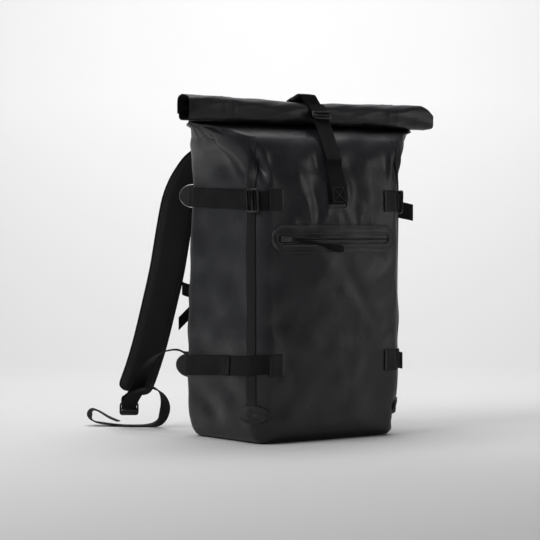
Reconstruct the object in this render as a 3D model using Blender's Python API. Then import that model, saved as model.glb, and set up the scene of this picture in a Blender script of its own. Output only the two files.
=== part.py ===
"""Rolltop backpack standing on its flat bottom, in metres: +Z up, front towards -Y, width along X.

The bag is a hollow cloth shell with an open neck. The roll, webbing, zip, buckles and shoulder
straps are separate pieces that lie on it with a small gap. Left is -X, as seen from the front.
"""

from math import pi, radians

import bmesh
import bpy
import numpy as np
from mathutils import Matrix

# Gaps and thicknesses
GAP = 0.0005
CLOTH = 0.002
WEBBING = 0.0018
PLASTIC = 0.004

# Bag body
BAG_WIDTH = 0.292
FRONT_REACH = 0.106
BACK_REACH = 0.098
BAG_HEIGHT = 0.491
FRONT_CORNER = 0.028
BACK_CORNER = 0.025
FRONT_BULGE = 0.009
BOTTOM_ROUND = 0.038
BOTTOM_TUCK = 0.021
DENT_DEPTH = 0.006

# Neck and roll
NECK_WIDTH = 0.444
NECK_DEPTH = 0.009
NECK_SET_BACK = 0.076
NECK_RISE = 0.012
NECK_FIRST = 0.25
ROLL_LENGTH = 0.490
ROLL_DEPTH = 0.034
ROLL_HEIGHT = 0.042
ROLL_SHEET = 0.0026
ROLL_SAG = 0.002
ROLL_SINK = 0.0127

# Webbing and its anchors on the body
WEBBING_WIDTH = 0.030
SEAM_BAND_THICKNESS = 0.001
SEAM_BAND_FOOT = 0.060
SEAM_BAND_TOP = 0.470
UPPER_STRAP_Z = 0.378
LOWER_STRAP_Z = 0.116
UPPER_STRAP_FALL = 0.007
LOWER_STRAP_FALL = -0.009
PATCH_HEIGHT = 0.034
TAB_LENGTH = 0.024
TAB_HEIGHT = 0.036
TAB_THICKNESS = 0.003
TAB_POINTS = 9
SIDE_TAIL_LENGTH = 0.044
LOWER_TAIL_LENGTH = 0.024
SIDE_TAIL_WIDTH = 0.027
SIDE_TAIL_BELOW = 0.012
SIDE_TAIL_WAY = (0.96, -0.10, -0.16)
LAYER_PROUD = 0.0005
SEAM_LIFT = GAP + SEAM_BAND_THICKNESS + GAP

# Where these lie, as columns w of the cloth: see skin_at
SEAM_W = (1.70, 2.03)
# up (share of BAG_HEIGHT), first and last column of the band there
SEAM_ROUTE = (
    (0.800, *SEAM_W),
    (0.835, 1.56, 1.90),
    (0.866, 1.42, 1.72),
    (0.898, 1.30, 1.54),
    (0.931, 1.13, 1.35),
    (0.957, 0.96, 1.16),
)
PATCH_W = (0.873, 1.22)
LOOP_W = (1.25, 1.64)
LOCK_W = 1.72
FRONT_STRAP_W = 1.90
STRAP_W = (2.00, 3.36)
SIDE_TAIL_W = 2.08
LAYER_W = (2.28, 3.30)
TAB_W = 3.62
FALL_W = (2.0, 3.4)
FALL_BEFORE = -0.3
SEAM_CLEAR_W = 0.02
SEAM_STEP_W = (0.20, 0.25)
COLUMN_CLEAR = 0.02

# Ladder locks
LOCK_LENGTH = 0.022
LOCK_RIM = 0.003
LOCK_BACKSET = 0.0005

# Zip pocket
ZIP_Z = 0.314
ZIP_LENGTH = 0.246
ZIP_HEIGHT = 0.044
ZIP_WINDOW = 0.015
ZIP_THICKNESS = 0.0016
ZIP_SLIDER_INSET = 0.025
ZIP_SLIDER_X = ZIP_SLIDER_INSET - ZIP_LENGTH / 2
ZIP_SLIDER_LENGTH = 0.020
ZIP_SLIDER_WIDTH = 0.010
ZIP_PULL_LENGTH = 0.088
ZIP_PULL_WIDTH = 0.007
ZIP_PULL_DROP = 0.012
ZIP_TURN_POINTS = 9
ZIP_STATIONS = 13
# across the tape (share of its width), rise (share of ZIP_THICKNESS)
ZIP_TEETH = (
    (-0.50, 0.5),
    (-0.18, 0.5),
    (-0.12, 1.0),
    (0.12, 1.0),
    (0.18, 0.5),
    (0.50, 0.5),
)
# along the pull (share of its length), width (share of ZIP_PULL_WIDTH)
ZIP_PULL_SHAPE = (
    (0.00, 1.0),
    (0.30, 1.0),
    (0.70, 1.0),
    (0.72, 1.5),
    (1.00, 1.5),
)

# Roll closure
CLOSURE_FOOT_Z = 0.368
CLOSURE_STITCH = 0.028
CLOSURE_BACK_Z = 0.452
BUCKLE_WIDTH = 0.038
BUCKLE_LENGTH = 0.030
BUCKLE_THICKNESS = 0.009
BUCKLE_TURN = 72.0
SOCKET_LENGTH = 0.0174
SOCKET_WALL = 0.0018
PLUG_WIDTH = 0.0365
PLUG_THICKNESS = 0.0081
BUCKLE_SHIFT = -0.016
# turn round the roll, shift (share of BUCKLE_SHIFT)
CLOSURE_WRAP = (
    (150.0, 0.00),
    (140.0, 0.16),
    (130.0, 0.36),
)
BACK_WRAP = (
    (26.0, 0.50),
    (16.0, 0.30),
    (6.0, 0.12),
)
CLOSURE_PATCH_WIDTH = 0.0345
SLIDER_HEIGHT = 0.014
SLIDER_SHARE = 0.82
CLOSURE_LIFTS_OFF = 0.898
BACK_LIFTS_OFF = 0.978
BACK_CENTRE = 4.9999

# Shoulder straps
STRAP_ANCHOR_X = 0.070
STRAP_ANCHOR_Z = 0.430
STRAP_SEWN = 0.020
STRAP_WIDTH = 0.062
STRAP_THICKNESS = 0.011
STRAP_REACH = 0.176
STRAP_SPREAD = 0.061
STRAP_END_Z = 0.070
LOCK_Z = 0.030
LOCK_LEAN = 0.2
LOCK_OUT = 0.002
LOCK_BACK = 0.011
LOCK_LEAD = 0.011
LOCK_HALFWAY = 0.0048
LOWER_ANCHOR_Z = 0.128
LOWER_SEWN_W = (-4.55, -4.30, -4.06)
CURL_LENGTH = 0.066
END_WEBBING_WIDTH = 0.025
STERNUM_WIDTH = 0.022
STERNUM_Z = 0.232
STERNUM_SAG = 0.012
STERNUM_SAG_POWER = 0.7
STERNUM_FORWARD = 0.010
STERNUM_BACK = 0.012
STERNUM_STATIONS = 5
STERNUM_BUCKLE = (0.036, 0.026, 0.006)
STERNUM_TAIL = (-0.052, 0.006, -0.046)
STERNUM_TAIL_SET = 0.002

# Shoulder strap where it is sewn on: up (share of STRAP_SEWN), width, thickness (shares)
STRAP_SEWN_ROWS = (
    (-1.0, 0.74, 0.35),
    (-0.5, 0.76, 0.45),
    (0.0, 0.78, 0.50),
)
# Its flat oval: across (share of half the width), out (share of half the thickness)
STRAP_PROFILE = (
    (-1.0, -0.35),
    (-0.9, -1.0),
    (0.9, -1.0),
    (1.0, -0.35),
    (1.0, 0.35),
    (0.9, 1.0),
    (-0.9, 1.0),
    (-1.0, 0.35),
)

# Shares of the way from the body's section to the neck's, by height.
# up: share of BAG_HEIGHT; spread: half-width; front_in, back_in: front and back;
# rounding: corner from its own radius to a full round; bulge: share of FRONT_BULGE.
SECTIONS = (
    # up, spread, front_in, back_in, rounding, bulge
    (0.00, -0.024, 0.020, 0.004, 0.00, 0.10),
    (0.08, -0.012, 0.015, 0.000, 0.00, 0.30),
    (0.20, 0.00, 0.000, -0.008, 0.00, 0.75),
    (0.32, 0.00, 0.000, 0.002, 0.00, 0.95),
    (0.45, 0.00, 0.000, 0.016, 0.00, 1.00),
    (0.55, 0.00, 0.000, 0.040, 0.00, 1.00),
    (0.64, 0.00, 0.000, 0.065, 0.00, 0.95),
    (0.70, 0.00, 0.000, 0.090, 0.00, 0.92),
    (0.764, 0.008, 0.004, 0.113, 0.00, 0.85),
    (0.800, 0.018, 0.020, 0.117, 0.02, 0.70),
    (0.835, 0.046, 0.042, 0.121, 0.06, 0.50),
    (0.866, 0.118, 0.084, 0.130, 0.16, 0.38),
    (0.898, 0.230, 0.119, 0.146, 0.40, 0.30),
    (0.931, 0.400, 0.196, 0.194, 0.72, 0.20),
    (0.957, 0.500, 0.308, 0.324, 0.80, 0.10),
    (0.9776, 0.610, 0.503, 0.534, 0.88, 0.05),
    (0.9857, 0.750, 0.615, 0.648, 0.92, 0.00),
    (0.994, 0.940, 0.755, 0.769, 0.95, 0.00),
    (1.000, 0.990, 0.930, 0.923, 0.97, 0.00),
)

# Soft hollows pressed into the cloth, with w as in skin_at and up as a share of BAG_HEIGHT.
DENTS = (
    # w, up, spread_w, spread_up, depth (share of DENT_DEPTH)
    (-2.40, 0.885, 0.30, 0.038, 1.00),
    (2.40, 0.885, 0.30, 0.038, 1.00),
    (-1.05, 0.880, 0.22, 0.045, 0.80),
    (1.05, 0.880, 0.22, 0.045, 0.80),
    (-0.32, 0.800, 0.12, 0.040, 0.35),
    (0.34, 0.790, 0.12, 0.040, 0.35),
    (-1.50, 0.100, 0.22, 0.018, 0.50),
    (1.50, 0.110, 0.22, 0.018, 0.40),
    (1.65, 0.045, 0.50, 0.055, 1.90),
    (-2.60, 0.180, 0.25, 0.050, 0.30),
    (-2.20, 0.560, 0.30, 0.120, 0.25),
    (2.50, 0.500, 0.40, 0.120, 0.30),
)

FRONT_CELLS, CORNER_CELLS, SIDE_CELLS, BACK_CELLS = 6, 4, 4, 4
BOTTOM_CELLS = 4
FULL_ROUND = 0.46
FRONT_ROUND = 0.7
SMALLEST_CORNER = 0.3
STEP = 0.0004

# Roll: theta 0 at its back, a quarter turn at its top, half a turn at its front.
ROLL_TURNS = 1.9
ROLL_TUCK = 0.22
ROLL_CELLS = 15
# along (share of half the length), height (share), drop (share of ROLL_SAG)
ROLL_STATIONS = (
    (-1.00, 1.00, 0.0),
    (-0.93, 0.99, 0.0),
    (-0.60, 0.95, 0.4),
    (-0.25, 0.90, 0.9),
    (0.00, 0.89, 1.0),
    (0.25, 0.90, 0.9),
    (0.60, 0.95, 0.4),
    (0.90, 0.99, 0.0),
    (0.96, 0.88, 1.2),
    (1.00, 0.64, 3.0),
)

# Left shoulder strap: out (share of STRAP_SPREAD), back (share of STRAP_REACH from where it is
# sewn), up (share from STRAP_END_Z to STRAP_ANCHOR_Z), across: the width direction's turn in
# degrees from straight across, size: share of STRAP_WIDTH and of STRAP_THICKNESS.
STRAP_ROUTE = (
    # out, back, up, across, width, thickness
    (0.02, 0.030, 1.040, 0, 0.80, 0.60),
    (0.06, 0.110, 1.072, 4, 0.84, 0.80),
    (0.12, 0.200, 1.070, 8, 0.90, 1.00),
    (0.20, 0.300, 1.035, 12, 0.95, 1.00),
    (0.28, 0.385, 0.985, 14, 0.98, 1.00),
    (0.36, 0.470, 0.920, 15, 1.00, 1.00),
    (0.43, 0.535, 0.840, 15, 1.00, 1.00),
    (0.49, 0.590, 0.715, 15, 1.00, 1.00),
    (0.58, 0.650, 0.540, 15, 1.00, 1.00),
    (0.69, 0.710, 0.395, 15, 1.00, 1.00),
    (0.81, 0.820, 0.200, 15, 1.00, 1.00),
    (0.90, 0.905, 0.080, 15, 1.00, 1.00),
    (0.96, 0.965, 0.010, 15, 1.00, 0.95),
    (0.985, 0.988, -0.017, 15, 0.92, 0.85),
    (1.00, 1.000, -0.030, 15, 0.66, 0.70),
)

# Webbing from the bag's lower back to the ladder lock: along (share of the way from its
# sewn end to the lock, across the floor), up (share from LOCK_Z to LOWER_ANCHOR_Z),
# out (share of STRAP_SPREAD sideways), turn: the width direction's angle from +X, in degrees.
LOWER_ROUTE = (
    # along, up, out, turn
    (0.12, 1.04, 0.15, 60),
    (0.26, 1.06, 0.22, 52),
    (0.45, 0.99, 0.22, 44),
    (0.61, 0.84, 0.19, 25),
    (0.75, 0.58, 0.15, -5),
    (0.86, 0.32, 0.08, -18),
)

# Free end of the webbing below the ladder lock: right (share of CURL_LENGTH, in the plane
# across the strap), up (share of CURL_LENGTH), deep (share, away from the bag), turn: the width
# direction's angle from +X, in degrees.
CURL_ROUTE = (
    # right, up, deep, turn
    (0.00, 0.44, 0.00, -37),
    (0.02, 0.56, -0.08, -37),
    (0.14, 0.76, -0.34, -20),
    (0.33, 0.95, -0.52, 12),
    (0.59, 1.02, -0.56, 40),
    (0.84, 0.88, -0.50, 70),
    (0.94, 0.58, -0.38, 90),
    (0.84, 0.24, -0.20, 88),
    (0.55, 0.04, 0.00, 66),
    (-0.05, 0.00, 0.12, 54),
    (-0.60, 0.04, 0.22, 54),
    (-0.92, 0.11, 0.28, 66),
    (-1.02, 0.26, 0.30, 78),
    (-0.95, 0.38, 0.30, 72),
    (-0.80, 0.36, 0.29, 60),
    (-0.52, 0.20, 0.27, 54),
    (-0.28, 0.10, 0.23, 54),
)
VIEW_TURN = 37.5

SHARP_ANGLE = radians(38)


# Helpers

def look(name, colour, roughness, metallic=0.0):
    """A Principled material."""
    material = bpy.data.materials.new(name)
    material.use_nodes = True
    shader = material.node_tree.nodes["Principled BSDF"]
    shader.inputs["Base Color"].default_value = (*colour, 1.0)
    shader.inputs["Roughness"].default_value = roughness
    shader.inputs["Metallic"].default_value = metallic
    return material


def solid(name, points, faces, material):
    """One object from points and faces, with its faces turned outwards."""
    mesh = bpy.data.meshes.new(name)
    mesh.from_pydata([tuple(map(float, point)) for point in points], [], faces)
    shape = bmesh.new()
    shape.from_mesh(mesh)
    bmesh.ops.recalc_face_normals(shape, faces=shape.faces)
    shape.to_mesh(mesh)
    shape.free()
    mesh.materials.append(material)
    mesh.shade_smooth()
    mesh.set_sharp_from_angle(angle=SHARP_ANGLE)
    obj = bpy.data.objects.new(name, mesh)
    bpy.context.scene.collection.objects.link(obj)
    return obj


def ring_faces(count, size, closed):
    """Quads between each ring of points and the next, and round to the first if closed."""
    last = count if closed else count - 1
    return [
        (
            i * size + j,
            i * size + (j + 1) % size,
            (i + 1) % count * size + (j + 1) % size,
            (i + 1) % count * size + j,
        )
        for i in range(last)
        for j in range(size)
    ]


def ladder_cap(start, size):
    """Quads across a flat, strip-shaped ring of 2 rows of points."""
    half = size // 2
    return [
        (start + j, start + j + 1, start + size - 2 - j, start + size - 1 - j)
        for j in range(half - 1)
    ]


def slab(name, under, over, material):
    """A sheet between two grids of points of one shape, closed at all its edges."""
    under, over = np.asarray(under), np.asarray(over)
    rings = np.concatenate([under, over[:, ::-1]], axis=1)
    count, size = rings.shape[:2]
    faces = ring_faces(count, size, closed=False)
    faces += ladder_cap(0, size) + ladder_cap((count - 1) * size, size)
    return solid(name, rings.reshape(-1, 3), faces, material)


def hoop(name, rings, material):
    """A closed loop of cross-sections."""
    rings = np.asarray(rings)
    count, size = rings.shape[:2]
    return solid(name, rings.reshape(-1, 3), ring_faces(count, size, closed=True), material)


def unit(vectors):
    return vectors / np.linalg.norm(vectors, axis=-1, keepdims=True)


def plate_cells(size, slots):
    """Breakpoints across a plate and which cells of it are material. slots: (x0, x1, y0, y1)."""
    half_x, half_y = size[0] / 2, size[1] / 2
    xs = sorted({-half_x, half_x, *(v for s in slots for v in s[:2])})
    ys = sorted({-half_y, half_y, *(v for s in slots for v in s[2:])})
    filled = {
        (i, j)
        for i in range(len(xs) - 1)
        for j in range(len(ys) - 1)
        if not any(s[0] <= xs[i] < s[1] and s[2] <= ys[j] < s[3] for s in slots)
    }
    return xs, ys, filled


def plate(name, size, slots, place, material):
    """A plate of size (x, y, thickness) with rectangular slots through it, set by a matrix."""
    xs, ys, filled = plate_cells(size, slots)
    rows = len(ys)
    corners = [(x, y, z) for z in (-size[2] / 2, size[2] / 2) for x in xs for y in ys]
    top = len(xs) * rows

    def corner(i, j, level):
        return level * top + i * rows + j

    faces = []
    for i, j in filled:
        round_cell = ((i, j), (i + 1, j), (i + 1, j + 1), (i, j + 1))
        faces.append(tuple(corner(*at, 0) for at in round_cell[::-1]))
        faces.append(tuple(corner(*at, 1) for at in round_cell))
        for di, dj, a, b in (
            (-1, 0, (i, j), (i, j + 1)),
            (1, 0, (i + 1, j + 1), (i + 1, j)),
            (0, -1, (i + 1, j), (i, j)),
            (0, 1, (i, j + 1), (i + 1, j + 1)),
        ):
            if (i + di, j + dj) not in filled:
                faces.append((corner(*a, 0), corner(*b, 0), corner(*b, 1), corner(*a, 1)))
    points = [place @ Matrix.Translation(point).to_translation() for point in corners]
    used = sorted({index for face in faces for index in face})
    renumber = {old: new for new, old in enumerate(used)}
    faces = [tuple(renumber[index] for index in face) for face in faces]
    return solid(name, [points[index] for index in used], faces, material)


# The bag's skin

def column(index):
    return np.array([row[index] for row in SECTIONS])


def mix(low, high, share):
    return low + (high - low) * share


def section_at(z):
    """Half-width, front, back, the two corner radii, bulge and bottom inset at height z."""
    up = np.clip(z / BAG_HEIGHT, 0, 1)
    spread, front_in, back_in, rounding, bulge = (
        np.interp(up, column(0), column(k)) for k in range(1, 6)
    )
    into_neck = np.clip((z - BAG_HEIGHT) / (NECK_RISE * NECK_FIRST), 0, 1)
    spread, front_in, back_in, rounding = (
        mix(value, 1.0, into_neck) for value in (spread, front_in, back_in, rounding)
    )
    neck_front = NECK_SET_BACK - FRONT_REACH - NECK_DEPTH / 2
    half = mix(BAG_WIDTH, NECK_WIDTH, spread) / 2
    front = mix(-FRONT_REACH, neck_front, front_in)
    back = mix(BACK_REACH, neck_front + NECK_DEPTH, back_in)
    full = FULL_ROUND * (back - front)
    below = np.clip(BOTTOM_ROUND - z, 0, BOTTOM_ROUND)
    inset = BOTTOM_TUCK * (1 - np.sqrt(1 - (below / BOTTOM_ROUND) ** 2))
    corners = [
        np.maximum(mix(own, most, rounding) - inset, SMALLEST_CORNER * own * (z < BOTTOM_ROUND))
        for own, most in ((FRONT_CORNER, FRONT_ROUND * full), (BACK_CORNER, full))
    ]
    return half - inset, front + inset, back - inset, *corners, bulge * FRONT_BULGE


def skin_at(w, z):
    """Points of the outer cloth. |w| is 0 at the front's centre, 1 to 2 round the front corner,
    3 to 4 round the back corner and 5 at the back's centre. The sign of w is the side."""
    w, z = np.broadcast_arrays(np.asarray(w, float), np.asarray(z, float))
    side, at = np.where(w < 0, -1.0, 1.0), np.abs(w)
    half, front, back, round_front, round_back, bulge = section_at(z)
    turn_front = np.clip(at - 1, 0, 1) * pi / 2
    turn_back = np.clip(at - 3, 0, 1) * pi / 2
    along_side = np.clip(at - 2, 0, 1)
    flat_front, flat_back = half - round_front, half - round_back
    x = np.where(
        at < 3,
        flat_front * np.clip(at, 0, 1) + round_front * np.sin(turn_front),
        flat_back * np.clip(5 - at, 0, 1) + round_back * np.cos(turn_back),
    )
    low, high = front + round_front, back - round_back
    y = np.where(
        at < 2,
        low - round_front * np.cos(turn_front),
        np.where(at < 3, mix(low, high, along_side), high + round_back * np.sin(turn_back)),
    )
    y = y - bulge * np.clip(1 - np.clip(at, 0, 1) ** 2, 0, 1)
    turn = np.where(at < 3, turn_front, pi / 2 + turn_back)
    dent = sum(
        share * DENT_DEPTH * np.exp(-(((w - dw) / sw) ** 2) - ((z / BAG_HEIGHT - up) / su) ** 2)
        for dw, up, sw, su, share in DENTS
    )
    x = x - dent * np.sin(turn)
    y = y + dent * np.cos(turn)
    return np.stack([side * x, y, z], axis=-1)


def skin_normal(w, z):
    """Outward unit normal of the cloth, from small steps along it."""
    w, z = np.broadcast_arrays(np.asarray(w, float), np.asarray(z, float))
    low = np.maximum(z - STEP, 0)
    along = skin_at(w + STEP, z) - skin_at(w - STEP, z)
    upward = skin_at(w, z + STEP) - skin_at(w, low)
    return unit(np.cross(along, upward))


def lifted(w, z, lift):
    """Points of the cloth moved outwards by lift."""
    return skin_at(w, z) + skin_normal(w, z) * np.asarray(lift)[..., None]


def around():
    """The body's columns from the front's centre to the back's."""
    cells = (FRONT_CELLS, CORNER_CELLS, SIDE_CELLS, CORNER_CELLS, BACK_CELLS)
    return np.concatenate([k + np.arange(n) / n for k, n in enumerate(cells)])


def columns_between(first, last):
    """first, the body's columns between, and last."""
    inner = around()
    inner = np.concatenate([-inner, inner[1:]])
    inner = np.sort(inner[(inner > first + COLUMN_CLEAR) & (inner < last - COLUMN_CLEAR)])
    return np.concatenate([[first], inner, [last]])


def heights():
    """The body's rows: the bottom's rounding, each section's height and the neck."""
    turn = np.arange(BOTTOM_CELLS + 1) / BOTTOM_CELLS * pi / 2
    bottom = BOTTOM_ROUND * (1 - np.cos(turn))
    upper = column(0) * BAG_HEIGHT
    upper = upper[upper > BOTTOM_ROUND + GAP]
    neck = BAG_HEIGHT + NECK_RISE * np.array([NECK_FIRST, 1.0])
    return np.concatenate([bottom, upper, neck])


def rows_between(low, high):
    """low, the body's rows between, and high."""
    inner = heights()
    inner = inner[(inner > low + GAP) & (inner < high - GAP)]
    return np.concatenate([[low], inner, [high]])


def cover(name, ends, rows, lift, thickness, material):
    """A sheet laid on the cloth between two columns and two heights."""
    w, z = np.meshgrid(columns_between(*ends), rows_between(*rows), indexing="ij")
    return slab(name, lifted(w, z, lift), lifted(w, z, lift + thickness), material)


def laid_strip(name, w, middle, width, lift, thickness, material):
    """Webbing laid round the bag along columns w, its middle at the given heights."""
    low, high = middle - width / 2, middle + width / 2
    inner = rows_between(low.max(), high.min())[1:-1]
    inner = np.broadcast_to(inner, (len(w), len(inner)))
    z = np.concatenate([low[:, None], inner, high[:, None]], axis=1)
    w = np.broadcast_to(w[:, None], z.shape)
    lift = np.broadcast_to(np.asarray(lift)[..., None], z.shape)
    return slab(name, lifted(w, z, lift), lifted(w, z, lift + thickness), material)


def seat(w, z, lift):
    """A matrix on the cloth: x along it, y up it and z outwards."""
    out = skin_normal(w, z)
    across = unit(np.cross([0.0, 0.0, 1.0], out))
    return Matrix.LocRotScale(
        Matrix.Translation(skin_at(w, z) + out * lift).to_translation(),
        Matrix(np.stack([across, np.cross(out, across), out], axis=-1).tolist()),
        None,
    )


def ribbon(name, path, across, width, thickness, material, square=True):
    """A flat band along a path, its width towards across, or along it exactly if not square."""
    path = np.asarray(path, float)
    width, thickness = np.broadcast_to(width, len(path)), np.broadcast_to(thickness, len(path))
    along = unit(np.gradient(path, axis=0))
    across = np.asarray(across, float)
    if square:
        across = across - (across * along).sum(axis=-1, keepdims=True) * along
    across = unit(across)
    out = unit(np.cross(along, across))
    side = across * width[:, None] / 2
    rise = out * thickness[:, None] / 2
    edges = np.stack([path - side, path + side], axis=1)
    return slab(name, edges - rise[:, None], edges + rise[:, None], material)


def turned(degrees):
    """Level unit vectors at these angles from +X towards +Y, in degrees."""
    angle = np.radians(degrees)
    return np.stack([np.cos(angle), np.sin(angle), 0 * angle], axis=-1)


def smooth(points, steps):
    """A Catmull-Rom curve through rows of numbers, with this many steps between two."""
    points = np.asarray(points, float)
    ends = np.concatenate([2 * points[:1] - points[1:2], points, 2 * points[-1:] - points[-2:-1]])
    t = (np.arange(steps) / steps)[:, None]
    pieces = []
    for a, b, c, d in zip(ends, ends[1:], ends[2:], ends[3:]):
        slope, bend, twist = c - a, 2 * a - 5 * b + 4 * c - d, 3 * b - a - 3 * c + d
        pieces.append(b + 0.5 * (slope * t + bend * t**2 + twist * t**3))
    return np.concatenate(pieces + [points[-1:]])


def mirrored(points, side):
    """Points of a left-hand piece, put on the given side."""
    return np.asarray(points) * [-side, 1.0, 1.0]


# Body and roll

def make_body(material):
    """The cloth shell: its outside from the bottom up, over the neck's edge, and its inside down."""
    half = around()
    w = np.concatenate([-half[::-1], half[1:], [5.0]])
    z = heights()
    outer = skin_at(w[None, :], z[:, None])
    inner_z = z[1:-1]
    inner = lifted(w[None, :], inner_z[:, None], -CLOTH)
    top = skin_at(w, z[-1])
    level = skin_normal(w, z[-1]) * [1.0, 1.0, 0.0]
    inner_top = top - unit(level) * CLOTH
    inner_bottom = outer[0] + [0.0, 0.0, CLOTH]
    rings = np.concatenate([outer, inner_top[None], inner[::-1], inner_bottom[None]])
    count, size = rings.shape[:2]
    faces = ring_faces(count, size, closed=False)
    faces.append(tuple(range(size)))
    faces.append(tuple((count - 1) * size + j for j in range(size)))
    return solid("bag_body", rings.reshape(-1, 3), faces, material)


def roll_middle(along):
    """The roll's centre in y and z and its half height, at a share of half its length."""
    stations = np.array(ROLL_STATIONS)
    height = np.interp(along, stations[:, 0], stations[:, 1]) * ROLL_HEIGHT / 2
    drop = np.interp(along, stations[:, 0], stations[:, 2]) * ROLL_SAG
    neck = NECK_SET_BACK - FRONT_REACH
    y = neck - ROLL_SHEET / 2 - ROLL_DEPTH / 2 + 0 * height
    z = BAG_HEIGHT + NECK_RISE + ROLL_HEIGHT / 2 - ROLL_SINK - drop
    return y, z, height


def roll_path(theta, along, lift=0.0):
    """Points of the rolled sheet's middle, or of a line lifted from it, as a shrinking oval."""
    theta, along = np.broadcast_arrays(np.asarray(theta, float), np.asarray(along, float))
    y, z, height = roll_middle(along)
    shrink = 1 - ROLL_TUCK * theta / (2 * pi)
    out = unit(np.stack([np.cos(theta) / ROLL_DEPTH, np.sin(theta) / (2 * height)], axis=-1))
    y = y + ROLL_DEPTH / 2 * shrink * np.cos(theta) + out[..., 0] * lift
    z = z + height * shrink * np.sin(theta) + out[..., 1] * lift
    return np.stack([along * ROLL_LENGTH / 2, y, z], axis=-1)


def make_roll(material):
    """The neck rolled forwards: its sheet rises from the neck and winds over to the front."""
    along = np.array([row[0] for row in ROLL_STATIONS])[:, None]
    theta = np.linspace(0, ROLL_TURNS * 2 * pi, round(ROLL_TURNS * ROLL_CELLS))[None, :]
    sides = []
    for lift in (-ROLL_SHEET / 2, ROLL_SHEET / 2):
        wound = roll_path(theta, along, lift)
        foot = wound[:, :1].copy()
        foot[..., 2] = BAG_HEIGHT + NECK_RISE + GAP
        sides.append(np.concatenate([foot, wound], axis=1))
    return slab("roll_top", *sides, material)


# Bands, patches and side straps

def front_w(x, z):
    """The column w of the front's point at x."""
    half, _, _, corner, _, _ = section_at(z)
    flat = half - corner
    past = np.clip((np.abs(x) - flat) / corner, 0, 1)
    return np.sign(x) * np.where(np.abs(x) < flat, np.abs(x) / flat, 1 + np.arcsin(past) * 2 / pi)


def side_ends(side, first, last):
    """Two columns of one side in rising order."""
    return (first, last) if side > 0 else (-last, -first)


def strap_middle(w, base, fall):
    """Heights of a side strap, falling by fall from the back corner to the front one."""
    share = (np.abs(w) - FALL_W[0]) / (FALL_W[1] - FALL_W[0])
    return base + fall * (np.clip(share, FALL_BEFORE, 1) - 0.5)


def strap_lift(w, over):
    """A strap's lift: over the seam band near the front corner, and on the cloth behind it."""
    past = np.abs(w) - SEAM_W[1] - SEAM_CLEAR_W
    return mix(over, GAP, np.clip(past / SEAM_STEP_W[1], 0, 1))


def seam_columns(z):
    """The welded band's columns at height z, from its first to its last."""
    route = np.array(SEAM_ROUTE)
    first, last = (np.interp(z / BAG_HEIGHT, route[:, 0], route[:, k]) for k in (1, 2))
    share = (columns_between(*SEAM_W) - SEAM_W[0]) / (SEAM_W[1] - SEAM_W[0])
    return mix(first, last, share[:, None])


def lock_place(side, base, fall):
    """The matrix of a ladder lock that stands on the seam band."""
    w = np.array(side * LOCK_W)
    return seat(w, float(strap_middle(w, base, fall)), SEAM_LIFT + PLASTIC / 2 + LOCK_BACKSET)


def make_side(side, name, webbing, cloth, plastic):
    """Everything on one side of the bag: band, patches, straps, locks, tabs and free ends."""
    z = rows_between(SEAM_BAND_FOOT, SEAM_BAND_TOP)
    w = np.sort(side * seam_columns(z), axis=0)
    lift = np.where(z > SEAM_ROUTE[0][0] * BAG_HEIGHT, 4 * GAP, GAP)
    band = lifted(w, z, lift), lifted(w, z, lift + SEAM_BAND_THICKNESS)
    slab(f"front_seam_band_{name}", *band, cloth)
    for level, base, fall in (
        ("upper", UPPER_STRAP_Z, UPPER_STRAP_FALL),
        ("lower", LOWER_STRAP_Z, LOWER_STRAP_FALL),
    ):
        front_z = float(strap_middle(FRONT_STRAP_W, base, fall))
        cover(
            f"anchor_patch_{level}_{name}",
            side_ends(side, *PATCH_W),
            (front_z - PATCH_HEIGHT / 2, front_z + PATCH_HEIGHT / 2),
            GAP,
            WEBBING,
            webbing,
        )
        make_tab(side, f"side_tab_{level}_{name}", base + fall / 2, plastic)
    make_upper_strap(side, name, webbing, plastic)
    make_lower_strap(side, name, webbing)


def make_tab(side, name, z, material):
    """A half-round tab standing out of the back corner: a half oval in plan of its own plane."""
    w = np.array(side * TAB_W)
    out = skin_normal(w, z)
    thick = unit(np.cross([0.0, 0.0, 1.0], out)) * TAB_THICKNESS / 2
    angle = np.linspace(-pi / 2, pi / 2, TAB_POINTS)
    heights_of_rim = z + np.sin(angle) * TAB_HEIGHT / 2
    rim = lifted(w, heights_of_rim, GAP) + np.cos(angle)[:, None] * out * TAB_LENGTH
    root = rows_between(z - TAB_HEIGHT / 2, z + TAB_HEIGHT / 2)[1:-1]
    rim = np.concatenate([rim, lifted(w, root[::-1], GAP)])
    rings = np.stack([rim - thick, rim + thick])
    count = len(rim)
    faces = ring_faces(2, count, closed=False)
    faces += [tuple(range(count)), tuple(range(count, 2 * count))]
    solid(name, rings.reshape(-1, 3), faces, material)


def make_upper_strap(side, name, webbing, plastic):
    """Strap along the side to a ladder lock at the front corner, and its loop to the patch."""
    w = columns_between(*side_ends(side, *STRAP_W))
    laid_strip(
        f"side_strap_upper_{name}",
        w,
        strap_middle(w, UPPER_STRAP_Z, UPPER_STRAP_FALL),
        WEBBING_WIDTH,
        strap_lift(w, SEAM_LIFT),
        WEBBING,
        webbing,
    )
    w = columns_between(*side_ends(side, *LOOP_W))
    laid_strip(
        f"anchor_loop_upper_{name}",
        w,
        strap_middle(w, UPPER_STRAP_Z, UPPER_STRAP_FALL),
        WEBBING_WIDTH,
        np.full(len(w), GAP),
        WEBBING,
        webbing,
    )
    bar = WEBBING_WIDTH + 2 * GAP
    slots = [(*s[2:], *s[:2]) for s in two_slots(LOCK_LENGTH, bar)]
    size = (LOCK_LENGTH, bar + 2 * LOCK_RIM, PLASTIC)
    plate(
        f"ladder_lock_upper_{name}",
        size,
        slots,
        lock_place(side, UPPER_STRAP_Z, UPPER_STRAP_FALL),
        plastic,
    )


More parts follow.
